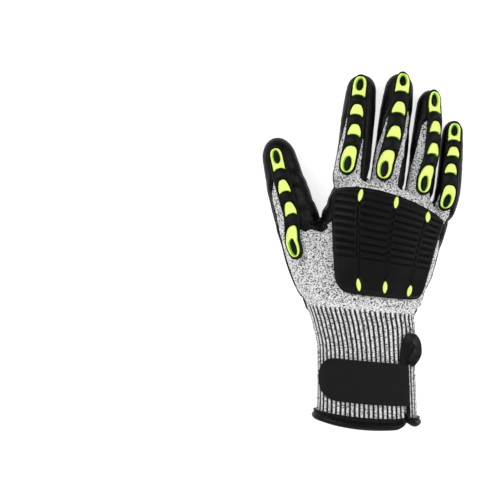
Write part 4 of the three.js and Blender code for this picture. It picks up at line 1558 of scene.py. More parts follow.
@dataclass
class PalmCoating:
    """Black coating over the palm, the sides of the digits and their ends, with raised pads."""

    body: HandBody
    shop: Workshop
    edge_thickness: float = 0.5
    edge_tuck: float = 0.7
    waves: Rows = ((15.0, 2.6, 0.3), (5.5, 6.1, 0.14))
    pad_share: float = 0.6
    thumb_fold: tuple[float, float] = (-42.0, 160.0)
    rib_pitch: float = 3.3
    crease_depth: float = 0.35
    seam_depth: float = 0.3
    rib_depth: float = 0.6
    patches: tuple[tuple[tuple[float, float], float, float, float], ...] = (
        ((-33.0, 166.0), 8.5, 12.5, 0.2), ((-56.5, 164.0), 8.5, 16.0, -0.42),
    )

    def build(self, skin: Mesh) -> None:
        """Cuts the coating from the hand's skin, swells it and closes its edge.

        Args:
            skin: Skin of the whole hand.
        """
        mesh = skin.copy()
        carve(mesh, self.body.coat_reach(places_of(mesh)))
        mesh.normal_update()
        places = places_of(mesh)
        normals = np.array([vert.normal[:] for vert in mesh.verts])
        reach = np.maximum(self.body.coat_reach(places), 0.0)
        rise = self.edge_thickness + (COAT_OUTSIDE - self.edge_thickness) * smooth_step(0.0, 2.2, reach)
        rise += ripples(places, *self.waves)
        rise += self.pad_rise(places, normals) - self.creases(places, normals)
        rise += self.web_folds(places) - self.ribs_below(places, reach)
        rise -= self.seams(places, normals, reach) * self.seam_depth
        final = places + normals * rise[:, None]
        final[:, 2] = np.maximum(final[:, 2], 0.0)
        for vert, place in zip(mesh.verts, final):
            vert.co = place
        mesh.normal_update()
        store(mesh, "under", smooth_step(-0.1, 0.6, -normals[:, 2]))
        # The seam share also sets the finish's painted shade in these grooves.
        store(mesh, "seam", self.seams(places, normals, reach))
        normal_of = {tuple(round(c, 3) for c in vert.co): vert.normal.copy() for vert in mesh.verts}

        def foot(points: Array) -> Array:
            """Foot of the coating's edge, just inside the knitting.

            Args:
                points: Points on the open edge.

            Returns:
                Points, one row each.
            """
            keys = [tuple(round(c, 3) for c in point) for point in points]
            outwards = np.array([normal_of.get(key, Vector((0, 0, 1)))[:] for key in keys])
            return points - outwards * (self.edge_thickness + self.edge_tuck)

        skirt(mesh, foot)
        self.shop.publish("palm_coat", mesh, Slot.COATING, ["palm_coating"])

    def pad_insides(self, places: Array) -> list[Array]:
        """Distance inside each palm pad's outline.

        Args:
            places: Points on the hand, one row each.

        Returns:
            Distances for each pad.
        """
        sizes = self.body.hand.sizes
        scale = (self.body.hand.palm_width, sizes.palm_length)
        return [
            polygon_distance(places[:, :2], rounded(np.array(corners) * scale + (0.0, sizes.cuff_length), 2))
            for corners in PADS.values()
        ]

    def pad_rise(self, places: Array, normals: Array) -> Array:
        """Extra height of the raised pads on the palm side.

        Args:
            places: Points on the hand, one row each.
            normals: Directions out of the hand there.

        Returns:
            One height for each point.
        """
        total = np.zeros(len(places))
        for inside in self.pad_insides(places):
            total = np.maximum(total, smooth_step(-0.8, 2.2, inside) * PAD_RISE * self.pad_share)
        return total * smooth_step(0.2, 0.75, -normals[:, 2])

    def seams(self, places: Array, normals: Array, reach: Array) -> Array:
        """Share of a pressed seam line at each point: round the pads, the thumb patches and over the ribs.

        Args:
            places: Points on the hand, one row each.
            normals: Directions out of the hand there.
            reach: How far inside the coating's edge each point lies.

        Returns:
            Shares from 0 to 1.
        """
        total = np.zeros(len(places))
        for inside in self.pad_insides(places):
            total = np.maximum(total, np.exp(-((inside + 0.9) / 0.8) ** 2))
        for spot, wide, long, lean in self.patches:
            turned = turned_flat(places[:, :2], spot, lean)
            ring = np.hypot(turned[:, 0] / wide, turned[:, 1] / long) - 1.0
            for line in (0.0, 0.24):
                total = np.maximum(total, np.exp(-((ring - line) * wide / 0.7) ** 2) * 0.8)
        total *= smooth_step(-0.1, 0.45, -normals[:, 2])
        return np.maximum(total, self.ribs_below(places, reach) / self.rib_depth * 0.85)

    def web_folds(self, places: Array) -> Array:
        """Soft folds where the thumb meets the palm.

        Args:
            places: Points on the hand, one row each.

        Returns:
            One height for each point.
        """
        away = np.linalg.norm((places[:, :2] - self.thumb_fold) * (1.3, 1.0), axis=1)
        near = 1.0 - smooth_step(20.0, 44.0, away)
        stretched = places * (0.7, 1.1, 0.7)
        crumple = 1.0 - smooth_step(4.0, 12.0, np.linalg.norm(places[:, :2] - WEB_PATCH[0], axis=1))
        folds = ripples(stretched, (8.0, 12.7, 1.1)) + ripples(places, (3.8, 17.3, 0.35))
        return folds * near + ripple(places * (1.6, 0.7, 1.0), 2.4, 23.9) * 0.5 * crumple

    def ribs_below(self, places: Array, reach: Array) -> Array:
        """Depth of the cuff's ribs showing through the coating by its wrist edge.

        Args:
            places: Points on the hand, one row each.
            reach: How far inside the coating's edge each point lies.

        Returns:
            One depth for each point.
        """
        low = 1.0 - smooth_step(10.0, 24.0, reach)
        flat = 1.0 - smooth_step(86.0, 108.0, places[:, 1])
        wave = (0.5 - 0.5 * np.cos((places[:, 0] + 0.12 * places[:, 1]) * math.tau / self.rib_pitch)) ** 2
        return wave * self.rib_depth * low * flat * (places[:, 2] < CUFF_MIDDLE_Z)

    def creases(self, places: Array, normals: Array) -> Array:
        """Depth of the creases across the palm side at each joint of the fingers.

        Args:
            places: Points on the hand, one row each.
            normals: Directions out of the hand there.

        Returns:
            One depth for each point.
        """
        under = smooth_step(0.0, 0.8, -normals[:, 2])
        depth = np.zeros(len(places))
        for digit in self.body.digits.values():
            spots = (-0.03, 0.05) if digit.name != "thumb" else (0.5,)
            for spot in spots:
                centre, across, ahead, half, _ = digit.frame(np.array([spot]))
                offset = places - centre[0]
                along = offset @ ahead[0]
                sideways = offset @ across[0]
                near = np.abs(sideways) < half[0] + 3.0
                bend = along + 1.2 * np.sin(sideways * 0.35 + spot * 9.0)
                depth += np.where(near, np.exp(-(bend / 2.4) ** 2) * self.crease_depth, 0.0)
        return depth * under


class Outline(Enum):
    """Outlines of the lime pieces, in shares of half the width and half the length."""

    TIP = "tip"
    UPPER = "upper"
    LOWER = "lower"
    BASE = "base"

    def corners(self) -> Array:
        """Corners of the outline in order.

        Returns:
            One row for each corner.
        """
        if self is Outline.TIP:
            points = [
                (-1.0, -1.0), (-0.82, -0.93), (-0.55, -0.8), (0.0, -0.74), (0.55, -0.8), (0.82, -0.93),
                (1.0, -1.0), (0.98, -0.3), (0.99, 0.3), (0.96, 0.6), (0.74, 0.88), (0.3, 1.0),
                (-0.3, 1.0), (-0.74, 0.88), (-0.96, 0.6), (-0.99, 0.3), (-0.98, -0.3),
            ]
        elif self is Outline.BASE:
            points = [
                (0.0, -1.0), (0.42, -0.95), (0.75, -0.8), (0.94, -0.56), (1.0, -0.2), (0.98, 0.3),
                (0.9, 0.62), (0.66, 0.9), (0.3, 0.99), (-0.3, 0.99), (-0.66, 0.88), (-0.92, 0.58),
                (-0.99, 0.2), (-1.0, -0.2), (-0.94, -0.56), (-0.75, -0.8), (-0.42, -0.95),
            ]
        else:
            points = [
                (-1.0, -0.86), (-0.88, -0.88), (-0.7, -0.78), (-0.4, -0.68), (0.0, -0.64), (0.42, -0.7),
                (0.72, -0.84), (0.86, -0.98), (0.99, -1.08), (1.0, -0.55), (0.96, -0.1), (0.8, 0.42),
                (0.58, 0.84), (0.3, 1.0), (-0.28, 1.0), (-0.56, 0.82), (-0.8, 0.36), (-0.96, -0.15),
                (-1.02, -0.6),
            ]
        return np.array(points)


@dataclass(frozen=True)
class LimeSizes:
    """Size of a lime piece as shares of its digit's lime width and its length, and of its hole."""

    width: float
    length: float
    hole: float = 0.0
    hole_length: float = 0.0
    hole_at: float = 0.0


LIME_WIDTHS = {"index": 9.6, "middle": 9.9, "ring": 8.7, "little": 8.6, "thumb": 8.7}

LIME_SIZES = {
    Outline.TIP: LimeSizes(1.03, 0.188, 0.54, 0.104, 0.028),
    Outline.UPPER: LimeSizes(1.0, 0.127),
    Outline.LOWER: LimeSizes(1.0, 0.127),
    Outline.BASE: LimeSizes(1.1, 0.265, 0.56, 0.142, -0.043),
}

SHORT_TIP = LimeSizes(1.03, 0.158, 0.54, 0.083, 0.026)

THUMB_LIME_LENGTH = 1.12

LIME_ORDER = (Outline.BASE, Outline.LOWER, Outline.UPPER, Outline.TIP)

LIME_PLACES = {
    "index": ((0.138, -0.27), (0.42, -0.16), (0.617, -0.165), (0.84, -0.19)),
    "middle": ((0.147, -0.28), (0.438, -0.04), (0.662, 0.03), (0.88, 0.08)),
    "ring": ((0.142, 0.11), (0.424, 0.39), (0.633, 0.39), (0.854, 0.205)),
    "little": ((0.13, -0.05), (0.436, -0.11), (0.628, -0.03), (0.836, -0.05)),
    "thumb": ((0.385, -0.48), (0.567, -0.17), (0.7, -0.17), (0.856, -0.16)),
}


class LimePlace:
    """One lime piece laid out flat: millimetres along and across its digit."""

    def __init__(self, digit: Digit, kind: Outline, at: float) -> None:
        """Works out its outline and its hole.

        Args:
            digit: Digit that it lies on.
            kind: Which piece.
            at: Its middle as a share of the digit's length.
        """
        sizes = SHORT_TIP if (digit.name, kind) == ("middle", Outline.TIP) else LIME_SIZES[kind]
        width, length = LIME_WIDTHS[digit.name], digit.length
        if digit.name == "thumb":
            length = FINGER_SIZES["index"][0] * THUMB_LIME_LENGTH
        self.kind = kind
        self.middle = at * digit.length
        self.half_width = sizes.width * width / 2
        self.half_length = sizes.length * length / 2
        self.outline = rounded(kind.corners(), 1) * (self.half_width, self.half_length) + (0.0, self.middle)
        self.hole: Array | None = None
        if sizes.hole:
            turn = np.linspace(0.0, math.tau, 28, endpoint=False)
            across = sizes.hole * width / 2 * np.cos(turn)
            along = sizes.hole_at * length + sizes.hole_length * length / 2 * np.sin(turn)
            self.hole = np.stack([across, along + self.middle], axis=-1)

    def inside(self, flat: Array) -> Array:
        """Distance inside the outline, the hole left out of count."""
        return polygon_distance(flat, self.outline)

    def reach(self, flat: Array) -> Array:
        """Distance inside the lime rubber itself."""
        inside = self.inside(flat)
        return inside if self.hole is None else np.minimum(inside, -polygon_distance(flat, self.hole))

    def light(self, flat: Array) -> Array:
        """Share of full colour, the rest being painted shade: less by the lower edge and by the thumb's side
        of the hole.

        Args:
            flat: Flat places, across and along, one row each.

        Returns:
            Shares from 0 to 1.
        """
        shifted = flat - (0.12, 0.5)
        low = smooth_step(-0.25, 0.95, self.inside(shifted) + 0.35)
        edge = smooth_step(0.05, 0.55, self.reach(flat))
        if self.hole is None:
            return low * edge
        return low * edge * smooth_step(0.0, 0.7, -polygon_distance(flat + (0.4, 0.1), self.hole) + 0.25)


@dataclass
class DigitGuard:
    """Black moulded strip along a digit, with its lime pieces set in it."""

    digit: Digit
    shop: Workshop
    base: float = 1.3
    bridge: float = 3.7
    rim: float = 2.75
    margin: float = 1.65
    ease: float = 0.5
    lime_rise: float = 3.3
    dome: float = 0.55
    cell: float = 0.36
    foot: float = -2.4

    def __post_init__(self) -> None:
        """Lays out the lime pieces and the strip's own line."""
        rows = LIME_PLACES[self.digit.name]
        self.limes = [LimePlace(self.digit, kind, at) for kind, (at, _) in zip(LIME_ORDER, rows)]
        self.half_width = max(lime.half_width for lime in self.limes) + self.margin
        self.line = Sections([at for at, _ in rows], side=[side for _, side in rows])

    def surface(self, across: Array, along: Array, height: Array) -> Array:
        """Points over the digit's back.

        Args:
            across: Millimetres across, from the strip's own line.
            along: Millimetres along the digit.
            height: Millimetres above the strip's seat.

        Returns:
            Points, one row each.
        """
        share = along / self.digit.length
        low, high = self.line.places[0], self.line.places[-1]
        side = self.line.value("side", np.clip(share, low, high))
        half = self.digit.frame(np.minimum(share, self.digit.last))[3]
        seat = GUARD_SEAT + self.ease
        turn = np.arcsin(side) + across / (half + seat + self.bridge / 2)
        return self.digit.point(share, turn, seat + height)

    def strip_reach(self, flat: Array) -> Array:
        """Distance inside the strip's outline.

        Args:
            flat: Flat places, across and along, one row each.

        Returns:
            One distance for each place.
        """
        first, last = self.limes[0], self.limes[-1]
        between = np.minimum(flat[:, 1] - first.middle, last.middle - flat[:, 1])
        band = np.minimum(self.half_width - np.abs(flat[:, 0]), between)
        ends = np.maximum(first.inside(flat), last.inside(flat)) + self.margin
        return np.maximum(band, ends)

    def strip_height(self, flat: Array) -> Array:
        """Height of the black rubber: seats under the lime pieces, bridges between them, rounded edges.

        Args:
            flat: Flat places, across and along, one row each.

        Returns:
            One height for each place.
        """
        lime = np.max([place.inside(flat) for place in self.limes], axis=0)
        arch = 1.0 - np.clip(np.abs(flat[:, 0]) / self.half_width, 0.0, 1.0) ** 2.2
        bridge = smooth_step(0.7, 2.6, -lime)
        top = self.rim + (self.bridge - self.rim) * arch * (0.35 + 0.65 * bridge)
        seat = smooth_step(0.15, 0.75, -lime)
        height = self.base + (top - self.base) * seat
        return height * (0.35 + 0.65 * fillet(self.strip_reach(flat), 1.3))

    def build(self) -> None:
        """Makes the strip and its lime pieces."""
        name = self.digit.name
        first, last = self.limes[0], self.limes[-1]
        wide = self.half_width + GRID_MARGIN
        start = first.middle - first.half_length - self.margin - GRID_MARGIN
        end = min(last.middle + last.half_length + self.margin + GRID_MARGIN, self.digit.length * 0.995)
        strip = flat_grid(np.array([-wide, start]), np.array([wide, end]), self.cell)
        carve(strip, self.strip_reach(places_of(strip)[:, :2]))
        raise_cutout(strip, self.strip_height, self.foot, self.surface)
        self.shop.publish(f"{name}_strip", strip, Slot.GUARD, [f"{name}_guard"])
        for lime in self.limes:
            self.build_lime(lime)

    def build_lime(self, lime: LimePlace) -> None:
        """Makes one lime piece: rounded edges and a softly crowned top.

        Args:
            lime: Where it lies.
        """
        edge = np.array([lime.half_width, lime.half_length]) * 1.12 + 0.3
        middle = np.array([0.0, lime.middle])
        mesh = flat_grid(middle - edge, middle + edge, self.cell)
        carve(mesh, lime.reach(places_of(mesh)[:, :2]))
        # Painted shade by the lower edge and round the hole, stored under the name inside.
        store(mesh, "inside", lime.light(places_of(mesh)[:, :2]))

        def height(flat: Array) -> Array:
            """Height of the lime rubber.

            Args:
                flat: Flat places, across and along, one row each.

            Returns:
                One height for each place.
            """
            inside = lime.reach(flat)
            crown = self.dome * smooth_step(0.0, 3.2, inside)
            low = self.base * 0.6
            return low + (self.lime_rise - low) * fillet(inside, 0.75) + crown

        raise_cutout(mesh, height, self.base - 0.5, self.surface)
        name = f"{self.digit.name}_lime_{lime.kind.value}"
        self.shop.publish(name, mesh, Slot.LIME, [f"{self.digit.name}_inlay_{lime.kind.value}"])


@dataclass
class KnucklePlate:
    """Moulded plate over the back of the hand: cross ribs, three channels and their lozenges."""

    hand: HandForm
    shop: Workshop
    base: float = 2.4
    rib: float = 4.6
    panel: float = 4.2
    flange: float = 1.7
    flange_width: float = 1.8
    rib_from: float = 0.4
    rib_to: float = 0.885
    rib_count: int = 9
    channel_half: float = 1.15
    groove_half: float = 0.62
    groove_depth: float = 1.6
    bulge: float = 0.3
    edge_round: float = 1.2
    body_round: float = 2.2
    collar_rise: float = 0.15
    lozenge: tuple[float, float, float] = (1.55, 4.3, 1.1)
    cell: float = 0.5
    foot: float = -2.1

    rows: Rows = (
        (0.12, -0.18, 0.39), (0.155, -0.24, 0.44), (0.22, -0.283, 0.468), (0.43, -0.297, 0.515),
        (0.62, -0.305, 0.563), (0.75, -0.308, 0.6), (0.83, -0.29, 0.625), (0.92, -0.258, 0.632),
    )
    channels: Rows = (
        (0.262, 0.255, 0.2, 0.85), (0.53, 0.55, 0.205, 0.86), (0.785, 0.822, 0.2, 0.835),
    )

    def __post_init__(self) -> None:
        """Lays out the plate's edges."""
        up, left, right = zip(*self.rows)
        self.edges = Sections(up, left=left, right=right)
        wide, long = self.hand.palm_width, self.hand.sizes.palm_length
        left_side = [(a * wide, u * long) for u, a, _ in self.rows]
        right_side = [(b * wide, u * long) for u, _, b in self.rows[::-1]]
        self.outline = rounded(np.array(left_side + right_side), 2)

    def surface(self, across: Array, along: Array, height: Array) -> Array:
        """Points over the back of the hand.

        Args:
            across: Millimetres across, from the middle of the cuff.
            along: Millimetres along the palm.
            height: Millimetres above the plate's seat.

        Returns:
            Points, one row each.
        """
        y = self.hand.sizes.cuff_length + along
        turn = self.hand.turn_at(y, across, GUARD_SEAT + self.base)
        return self.hand.point(y, turn, GUARD_SEAT + height)

    def channel_middle(self, channel: Sequence[float], up: Array) -> Array:
        """Where a channel runs, in millimetres across.

        Args:
            channel: Shares across at its foot and head, and where it starts and ends.
            up: Shares of the palm's length.

        Returns:
            One distance for each share.
        """
        low, high = self.rows[0][0], self.rows[-1][0]
        share = channel[0] + (channel[1] - channel[0]) * (up - low) / (high - low)
        left, right = self.edges.value("left", up), self.edges.value("right", up)
        return (left + (right - left) * share) * self.hand.palm_width

    def height(self, flat: Array) -> Array:
        """Height of the plate at flat places.

        Args:
            flat: Flat places, across and along, one row each.

        Returns:
            One height for each place.
        """
        long = self.hand.sizes.palm_length
        up = flat[:, 1] / long
        inside = polygon_distance(flat, self.outline)
        pitch = (self.rib_to - self.rib_from) / self.rib_count
        step = (up - self.rib_from) / pitch
        nearest = np.abs(step - np.round(step)) * pitch * long
        ribbed = smooth_step(-0.35, -0.15, step)
        ribbed = ribbed * (1.0 - smooth_step(self.rib_count + 0.1, self.rib_count + 0.3, step))
        clear = smooth_step(3.2, 6.0, inside)
        gap = np.full(len(flat), FAR)
        run = np.zeros(len(flat))
        collar = np.zeros(len(flat))
        for channel in self.channels:
            away = np.abs(flat[:, 0] - self.channel_middle(channel, up))
            half = self.channel_half * (1.25 - 0.4 * up)
            live = smooth_step(channel[2] - 0.02, channel[2] + 0.02, up) * (
                1.0 - smooth_step(channel[3] - 0.02, channel[3] + 0.02, up))
            run = np.maximum(run, live * (1.0 - smooth_step(half * 0.55, half * 1.45, away)))
            gap = np.minimum(gap, away)
            for end in channel[2:]:
                middle = self.channel_middle(channel, np.array([end]))[0]
                offset = (flat - (middle, end * long)) / self.lozenge[:2]
                round_way = np.hypot(offset[:, 0], offset[:, 1])
                collar = np.maximum(collar, 1.0 - smooth_step(1.15, 1.75, round_way))
        groove = np.exp(-(nearest / self.groove_half) ** 2) * ribbed * clear * smooth_step(1.0, 2.2, gap)
        phase = np.clip(step - np.floor(step) - 0.5, -0.5, 0.5)
        bulge = self.bulge * np.cos(phase * math.pi) * ribbed * clear
        top = self.panel + (self.rib - self.panel) * ribbed + bulge - groove * self.groove_depth
        top = top - (top - self.base) * run * 0.95
        top = top + collar * (self.rib + self.collar_rise - top)
        skin = self.flange * fillet(inside, self.edge_round)
        body = fillet(inside - self.flange_width, self.body_round) * (inside > self.flange_width)
        return skin + (top - self.flange) * body

    def build(self) -> None:
        """Makes the plate and its six lozenges."""
        low, high = self.outline.min(axis=0) - GRID_MARGIN, self.outline.max(axis=0) + GRID_MARGIN
        mesh = flat_grid(low, high, self.cell)
        carve(mesh, polygon_distance(places_of(mesh)[:, :2], self.outline))
        raise_cutout(mesh, self.height, self.foot, self.surface)
        self.shop.publish("knuckle_plate", mesh, Slot.GUARD, ["knuckle_guard"])
        for index, channel in enumerate(self.channels):
            self.build_lozenge(2 * index + 1, channel, channel[3])
            self.build_lozenge(2 * index + 2, channel, channel[2])

    def build_lozenge(self, number: int, channel: Sequence[float], up: float) -> None:
        """Makes one lozenge, a long smooth bead turned with its channel.

        Args:
            number: The lozenge's number.
            channel: Channel that it ends.
            up: Its middle as a share of the palm's length.
        """
        mesh = bmesh.new()
        bmesh.ops.create_uvsphere(mesh, u_segments=32, v_segments=16, radius=1.0)
        ball = places_of(mesh)
        # Painted shade: the lower half of the bead takes the lime's darker side green.
        store(mesh, "inside", np.clip((ball[:, 2] + 0.1) * 1.6, 0.0, 1.0))
        ahead = 0.05
        palm = self.hand.sizes.palm_length
        middle, further = self.channel_middle(channel, np.array([up, up + ahead]))
        slope = (further - middle) / (ahead * palm)
        wide, long, deep = self.lozenge

        def shape(place: Array) -> Array:
            """Point on the bead, pointed at its ends.

            Args:
                place: Points on a ball.

            Returns:
                Points, one row each.
            """
            taper = 1.0 - 0.25 * np.abs(place[:, 1]) ** 2
            along = place[:, 1] * long
            across = middle + place[:, 0] * wide * taper + along * slope
            return self.surface(across, up * palm + along, self.rib + 0.1 + place[:, 2] * deep)

        move_points(mesh, shape)
        bmesh.ops.recalc_face_normals(mesh, faces=mesh.faces)
        self.shop.publish(f"knuckle_lozenge_{number}", mesh, Slot.LIME, [f"knuckle_inlay_{number}"])


@dataclass
class WristStrap:
    """Bare black strap across the back of the cuff, with a rounded free end."""

    hand: HandForm
    shop: Workshop
    shares: Array
    turns: Array
    middle_y: float = 32.3
    width: float = 31.0
    thickness: float = 2.4
    start_turn: float = math.radians(49)
    end_turn: float = math.radians(-69)
    border: float = 2.3
    border_half: float = 0.45
    border_depth: float = 0.22
    edge_round: float = 1.5
    swell: float = 0.12
    cell: float = 0.6
    foot: float = -0.35

    def build(self) -> None:
        """Makes the strap."""
        start = np.interp(self.start_turn, self.turns, self.shares)
        end = np.interp(self.end_turn + math.tau, self.turns, self.shares) - 1.0
        length = (start - end) * CUFF_ROUND
        half = self.width / 2
        end_half = half * 0.95
        curve = np.linspace(-math.pi / 2, math.pi / 2, 24)
        corners = [(0.0, -half), (1.2, -half)]
        corners += [(length - end_half + end_half * math.cos(t) ** 0.85, half * math.sin(t)) for t in curve]
        corners += [(1.2, half), (0.0, half)]
        outline = np.array(corners)

        def surface(across: Array, along: Array, height: Array) -> Array:
            """Point over the cuff, from the distance round it, up it and off it.

            Args:
                across: Distance round.
                along: Distance up.
                height: Distance off.

            Returns:
                Points, one row each.
            """
            share = start - across / CUFF_ROUND
            turn = np.where(
                share >= 0, np.interp(share, self.shares, self.turns),
                np.interp(share + 1.0, self.shares, self.turns) - math.tau)
            return self.hand.point(self.middle_y + along, turn, SEAT_GAP + height)

        def height(flat: Array) -> Array:
            """Thickness, soft at the edge, with a pressed line inside it.

            Args:
                flat: Flat places, across and along, one row each.

            Returns:
                One height for each place.
            """
            inside = polygon_distance(flat, outline)
            line = np.exp(-((inside - self.border) / self.border_half) ** 2) * self.border_depth
            swell = ripple(np.column_stack([flat, np.zeros(len(flat))]), 14.0, 4.4) * self.swell
            return self.thickness * (0.25 + 0.75 * fillet(inside, self.edge_round)) - line + swell

        low = np.array([-GRID_MARGIN, -half - GRID_MARGIN])
        high = np.array([length + GRID_MARGIN, half + GRID_MARGIN])
        mesh = flat_grid(low, high, self.cell)
        carve(mesh, polygon_distance(places_of(mesh)[:, :2], outline))
        raise_cutout(mesh, height, self.foot, surface)
        self.shop.publish("cuff_strap", mesh, Slot.STRAP, ["wrist_strap"])


@dataclass
class HemBinding:
    """Puffed tape folded over the cuff's lower edge, from one side of the slit round to the other."""

    hand: HandForm
    shop: Workshop
    slit_turn: float = SLIT_TURN
    slit_open: float = math.radians(5)
    middle: float = -0.9
    end_lift: float = 2.2
    puckers: int = 54
    pucker_depth: float = 0.26
    section: Rows = (
        (7.3, 0.3), (7.1, 1.4), (6.3, 2.0), (5.5, 1.6), (4.9, 0.95), (4.2, 1.5), (3.0, 2.5), (1.4, 2.8),
        (-0.1, 2.3), (-1.2, 1.2), (-1.6, -0.3), (-1.4, -1.8), (-0.6, -3.2), (0.8, -3.9), (3.0, -3.8),
        (5.4, -3.3), (6.9, -2.7), (7.2, -2.0), (3.0, -1.9), (3.0, 0.15),
    )

    def build(self) -> None:
        """Makes the binding."""
        start, end = self.slit_turn + self.slit_open, self.slit_turn - self.slit_open + math.tau
        loop = rounded(np.array(self.section), 1)
        loop = np.concatenate([loop, loop[:1]])
        marks = np.linspace(0.0, 1.0, len(loop))

        def shape(u: Array, v: Array) -> Array:
            """Point on the binding, round the cuff and round its section.

            Args:
                u: Shares of the way round.
                v: Shares round the section.

            Returns:
                Points, one row each.
            """
            up = np.interp(v, marks, loop[:, 0])
            offset = np.interp(v, marks, loop[:, 1])
            turn = start + u * (end - start)
            from_end = np.minimum(u, 1.0 - u) * CUFF_ROUND
            lift = self.end_lift * (1.0 - smooth_step(0.0, 7.0, from_end))
            close = 1.0 - 0.45 * (1.0 - smooth_step(0.0, 2.5, from_end))
            pucker = self.pucker_depth * np.sin(u * math.tau * self.puckers) * smooth_step(2.4, 4.6, up)
            wave = 0.25 * np.sin(u * 31.0 + 1.0) + 0.18 * np.sin(u * 67.0)
            sign = np.where(offset > -1.0, 1.0, -1.0)
            reach = self.middle + (offset + sign * (pucker + wave * 0.5) - self.middle) * close
            point = self.hand.point(np.maximum(up, 0.0), turn, reach)
            point[:, 1] += np.minimum(up, 0.0) * close + lift * (1.0 - np.clip(up, 0.0, 7.0) / 9.0)
            return point

        mesh = shaped_grid(6 * self.puckers, len(loop) - 1, shape)
        close_tube(mesh, 0.001)
        self.shop.publish("hem_tape", mesh, Slot.BINDING, ["hem_binding"])


@dataclass
class SlitTape:
    """Narrow tape along the slit that the strap leaves clear."""

    hand: HandForm
    shop: Workshop
    turn: float = math.radians(49)
    width: float = math.radians(4)
    start: float = 6.8
    end: float = 46.0
    thickness: float = 1.0

    def build(self) -> None:
        """Makes the tape."""
        def shape(u: Array, v: Array) -> Array:
            """Point on the tape, rounded across.

            Args:
                u: Shares across.
                v: Shares along.

            Returns:
                Points, one row each.
            """
            y = self.start + v * (self.end - self.start)
            crown = self.thickness * fillet(np.minimum(u, 1.0 - u), 0.35)
            return self.hand.point(y, self.turn + (u - 0.1) * self.width, SEAT_GAP * 0.3 + crown)

        mesh = shaped_grid(12, 60, shape)
        upright(mesh)
        self.shop.publish("slit_tape", mesh, Slot.BINDING, ["slit_binding"])


@dataclass
class PullLoop:
    """Loop of folded tape at the head of the slit, twisted once where it comes back."""

    hand: HandForm
    shop: Workshop
    tape: float = 8.2
    thickness: float = 2.0
    loop: Rows = (
        (47.0, 43.5, 1.3, 0.5), (55.0, 43.0, 1.9, 0.6), (61.5, 44.0, 2.7, 0.6), (66.6, 50.0, 3.1, 0.45),
        (66.0, 59.0, 3.2, 0.1), (61.5, 65.5, 3.6, -0.4), (57.0, 61.0, 4.3, -0.7), (53.0, 53.0, 4.7, -0.8),
        (49.0, 46.5, 3.9, -0.7),
    )
    tail: Rows = (
        (60.0, 66.0, 1.9, -0.3), (56.5, 68.5, 1.7, -0.3), (53.0, 66.5, 1.5, -0.3), (50.5, 61.0, 1.2, -0.2),
        (49.0, 55.0, 0.9, 0.0),
    )

    def build(self) -> None:
        """Makes the loop and the tail that comes out below its crossing."""
        self.shop.publish("pull_tab", self.strand(self.loop, 96), Slot.BINDING, ["pull_loop"])
        self.shop.publish("pull_tab_tail", self.strand(self.tail, 48), Slot.BINDING, [])

    def strand(self, path: Rows, cells: int) -> Mesh:
        """Makes one strand of folded tape.

        Args:
            path: Height from the hem, turn in degrees, height off the cuff and twist, row by row.
            cells: Cells along the strand.

        Returns:
            The closed strand.
        """
        rows = np.array(path)
        marks = np.linspace(0.0, 1.0, len(rows))
        columns = Sections(marks, y=rows[:, 0], turn=np.radians(rows[:, 1]), off=rows[:, 2], twist=rows[:, 3])

        def line(t: Array, lift: float = 0.0) -> Array:
            """Middle line of the tape."""
            value = columns.value
            return self.hand.point(value("y", t), value("turn", t), value("off", t) + lift)

        def shape(u: Array, v: Array) -> Array:
            """Point on the tape's flat rounded section.

            Args:
                u: Shares along the strand.
                v: Shares round its section.

            Returns:
                Points, one row each.
            """
            middle = line(u)
            ahead = line(np.minimum(u + 0.004, 1.0)) - line(np.maximum(u - 0.004, 0.0))
            ahead /= np.linalg.norm(ahead, axis=1)[:, None]
            out = line(u, 1.0) - middle
            out -= ahead * np.sum(out * ahead, axis=1)[:, None]
            out /= np.linalg.norm(out, axis=1)[:, None]
            wide = np.cross(ahead, out)
            twist = columns.value("twist", u)[:, None]
            wide, out = wide * np.cos(twist) + out * np.sin(twist), out * np.cos(twist) - wide * np.sin(twist)
            round_way = v * math.tau
            across = np.sign(np.cos(round_way)) * np.abs(np.cos(round_way)) ** 0.7 * self.tape / 2
            folds = 0.35 * np.cos(round_way * 2.0) + 0.12 * np.sin(u * 21.0) * np.cos(round_way)
            rise = np.sin(round_way) * self.thickness / 2 * (1.0 + folds)
            return middle + wide * across[:, None] + out * rise[:, None]

        mesh = shaped_grid(cells, 24, shape)
        close_tube(mesh, 0.001)
        return mesh


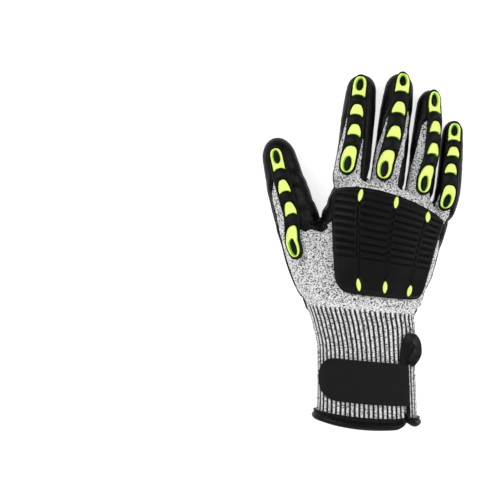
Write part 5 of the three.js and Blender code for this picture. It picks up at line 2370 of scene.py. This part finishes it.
@dataclass(frozen=True)
class Studio:
    """Camera straight above, soft lights and a pale floor."""

    middle: tuple[float, float] = (-0.0834, -0.0004)
    height: float = 0.9
    field: float = 0.365
    glove_height: float = 0.02
    floor_size: float = 14.0
    floor_z: float = -0.0004
    world_light: float = 0.2
    light_size: float = 0.9
    lights: tuple[tuple[str, tuple[float, float, float], float], ...] = (
        ("key", (-0.8, 0.5, 0.9), 10.4), ("fill", (0.95, 0.3, 0.85), 9.6), ("low", (0.1, -1.0, 0.85), 7.4),
    )

    def build(self) -> None:
        """Makes the camera, the lights and the floor."""
        camera_data = bpy.data.cameras.new("camera")
        camera_data.sensor_width = 36.0
        camera_data.lens = 36.0 * (self.height - self.glove_height) / self.field
        camera = add_object("camera", camera_data)
        camera.location = (*self.middle, self.height)
        bpy.context.scene.camera = camera
        bpy.context.scene.view_settings.view_transform = "Standard"
        for name, place, power in self.lights:
            self.light(name, place, power)
        world = bpy.data.worlds.new("studio")
        world.use_nodes = True
        background = world.node_tree.nodes["Background"]
        background.inputs["Color"].default_value = (1.0, 1.0, 1.0, 1.0)
        background.inputs["Strength"].default_value = self.world_light
        bpy.context.scene.world = world
        self.floor()

    def light(self, name: str, place: Sequence[float], power: float) -> None:
        """Adds a soft light aimed at the glove.

        Args:
            name: Light's name.
            place: Where it hangs.
            power: Its power in watts.
        """
        data = bpy.data.lights.new(name, "AREA")
        data.size = self.light_size
        data.energy = power
        lamp = add_object(name, data)
        lamp.location = place
        lamp.rotation_euler = (-Vector(place)).to_track_quat("-Z", "Y").to_euler()

    def floor(self) -> None:
        """Adds the floor that the glove lies on."""
        mesh = bmesh.new()
        bmesh.ops.create_grid(mesh, x_segments=2, y_segments=2, size=self.floor_size / 2)
        data = mesh_data("floor", mesh)
        data.materials.append(FloorFinish().build())
        floor = add_object("floor", data)
        floor.location = (0.0, 0.0, self.floor_z)


def main() -> None:
    """Builds the glove and its studio."""
    logging.basicConfig(level=logging.INFO, format="%(name)s %(message)s")
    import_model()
    Studio().build()
    shop = Workshop()
    hand = HandForm(HandSizes())
    digits = place_digits(hand)
    body = HandBody(hand, digits)
    skin = body.joined(0.0, 30.0, body.voxel, 3)
    knit = KnittedHand(body, shop)
    knit.build(skin)
    PalmCoating(body, shop).build(skin)
    skin.free()
    KnucklePlate(hand, shop).build()
    for digit in digits.values():
        DigitGuard(digit, shop).build()
    shares, turns = knit.turn_table()
    WristStrap(hand, shop, shares, turns).build()
    HemBinding(hand, shop).build()
    SlitTape(hand, shop).build()
    PullLoop(hand, shop).build()


if __name__ == "__main__":
    main()
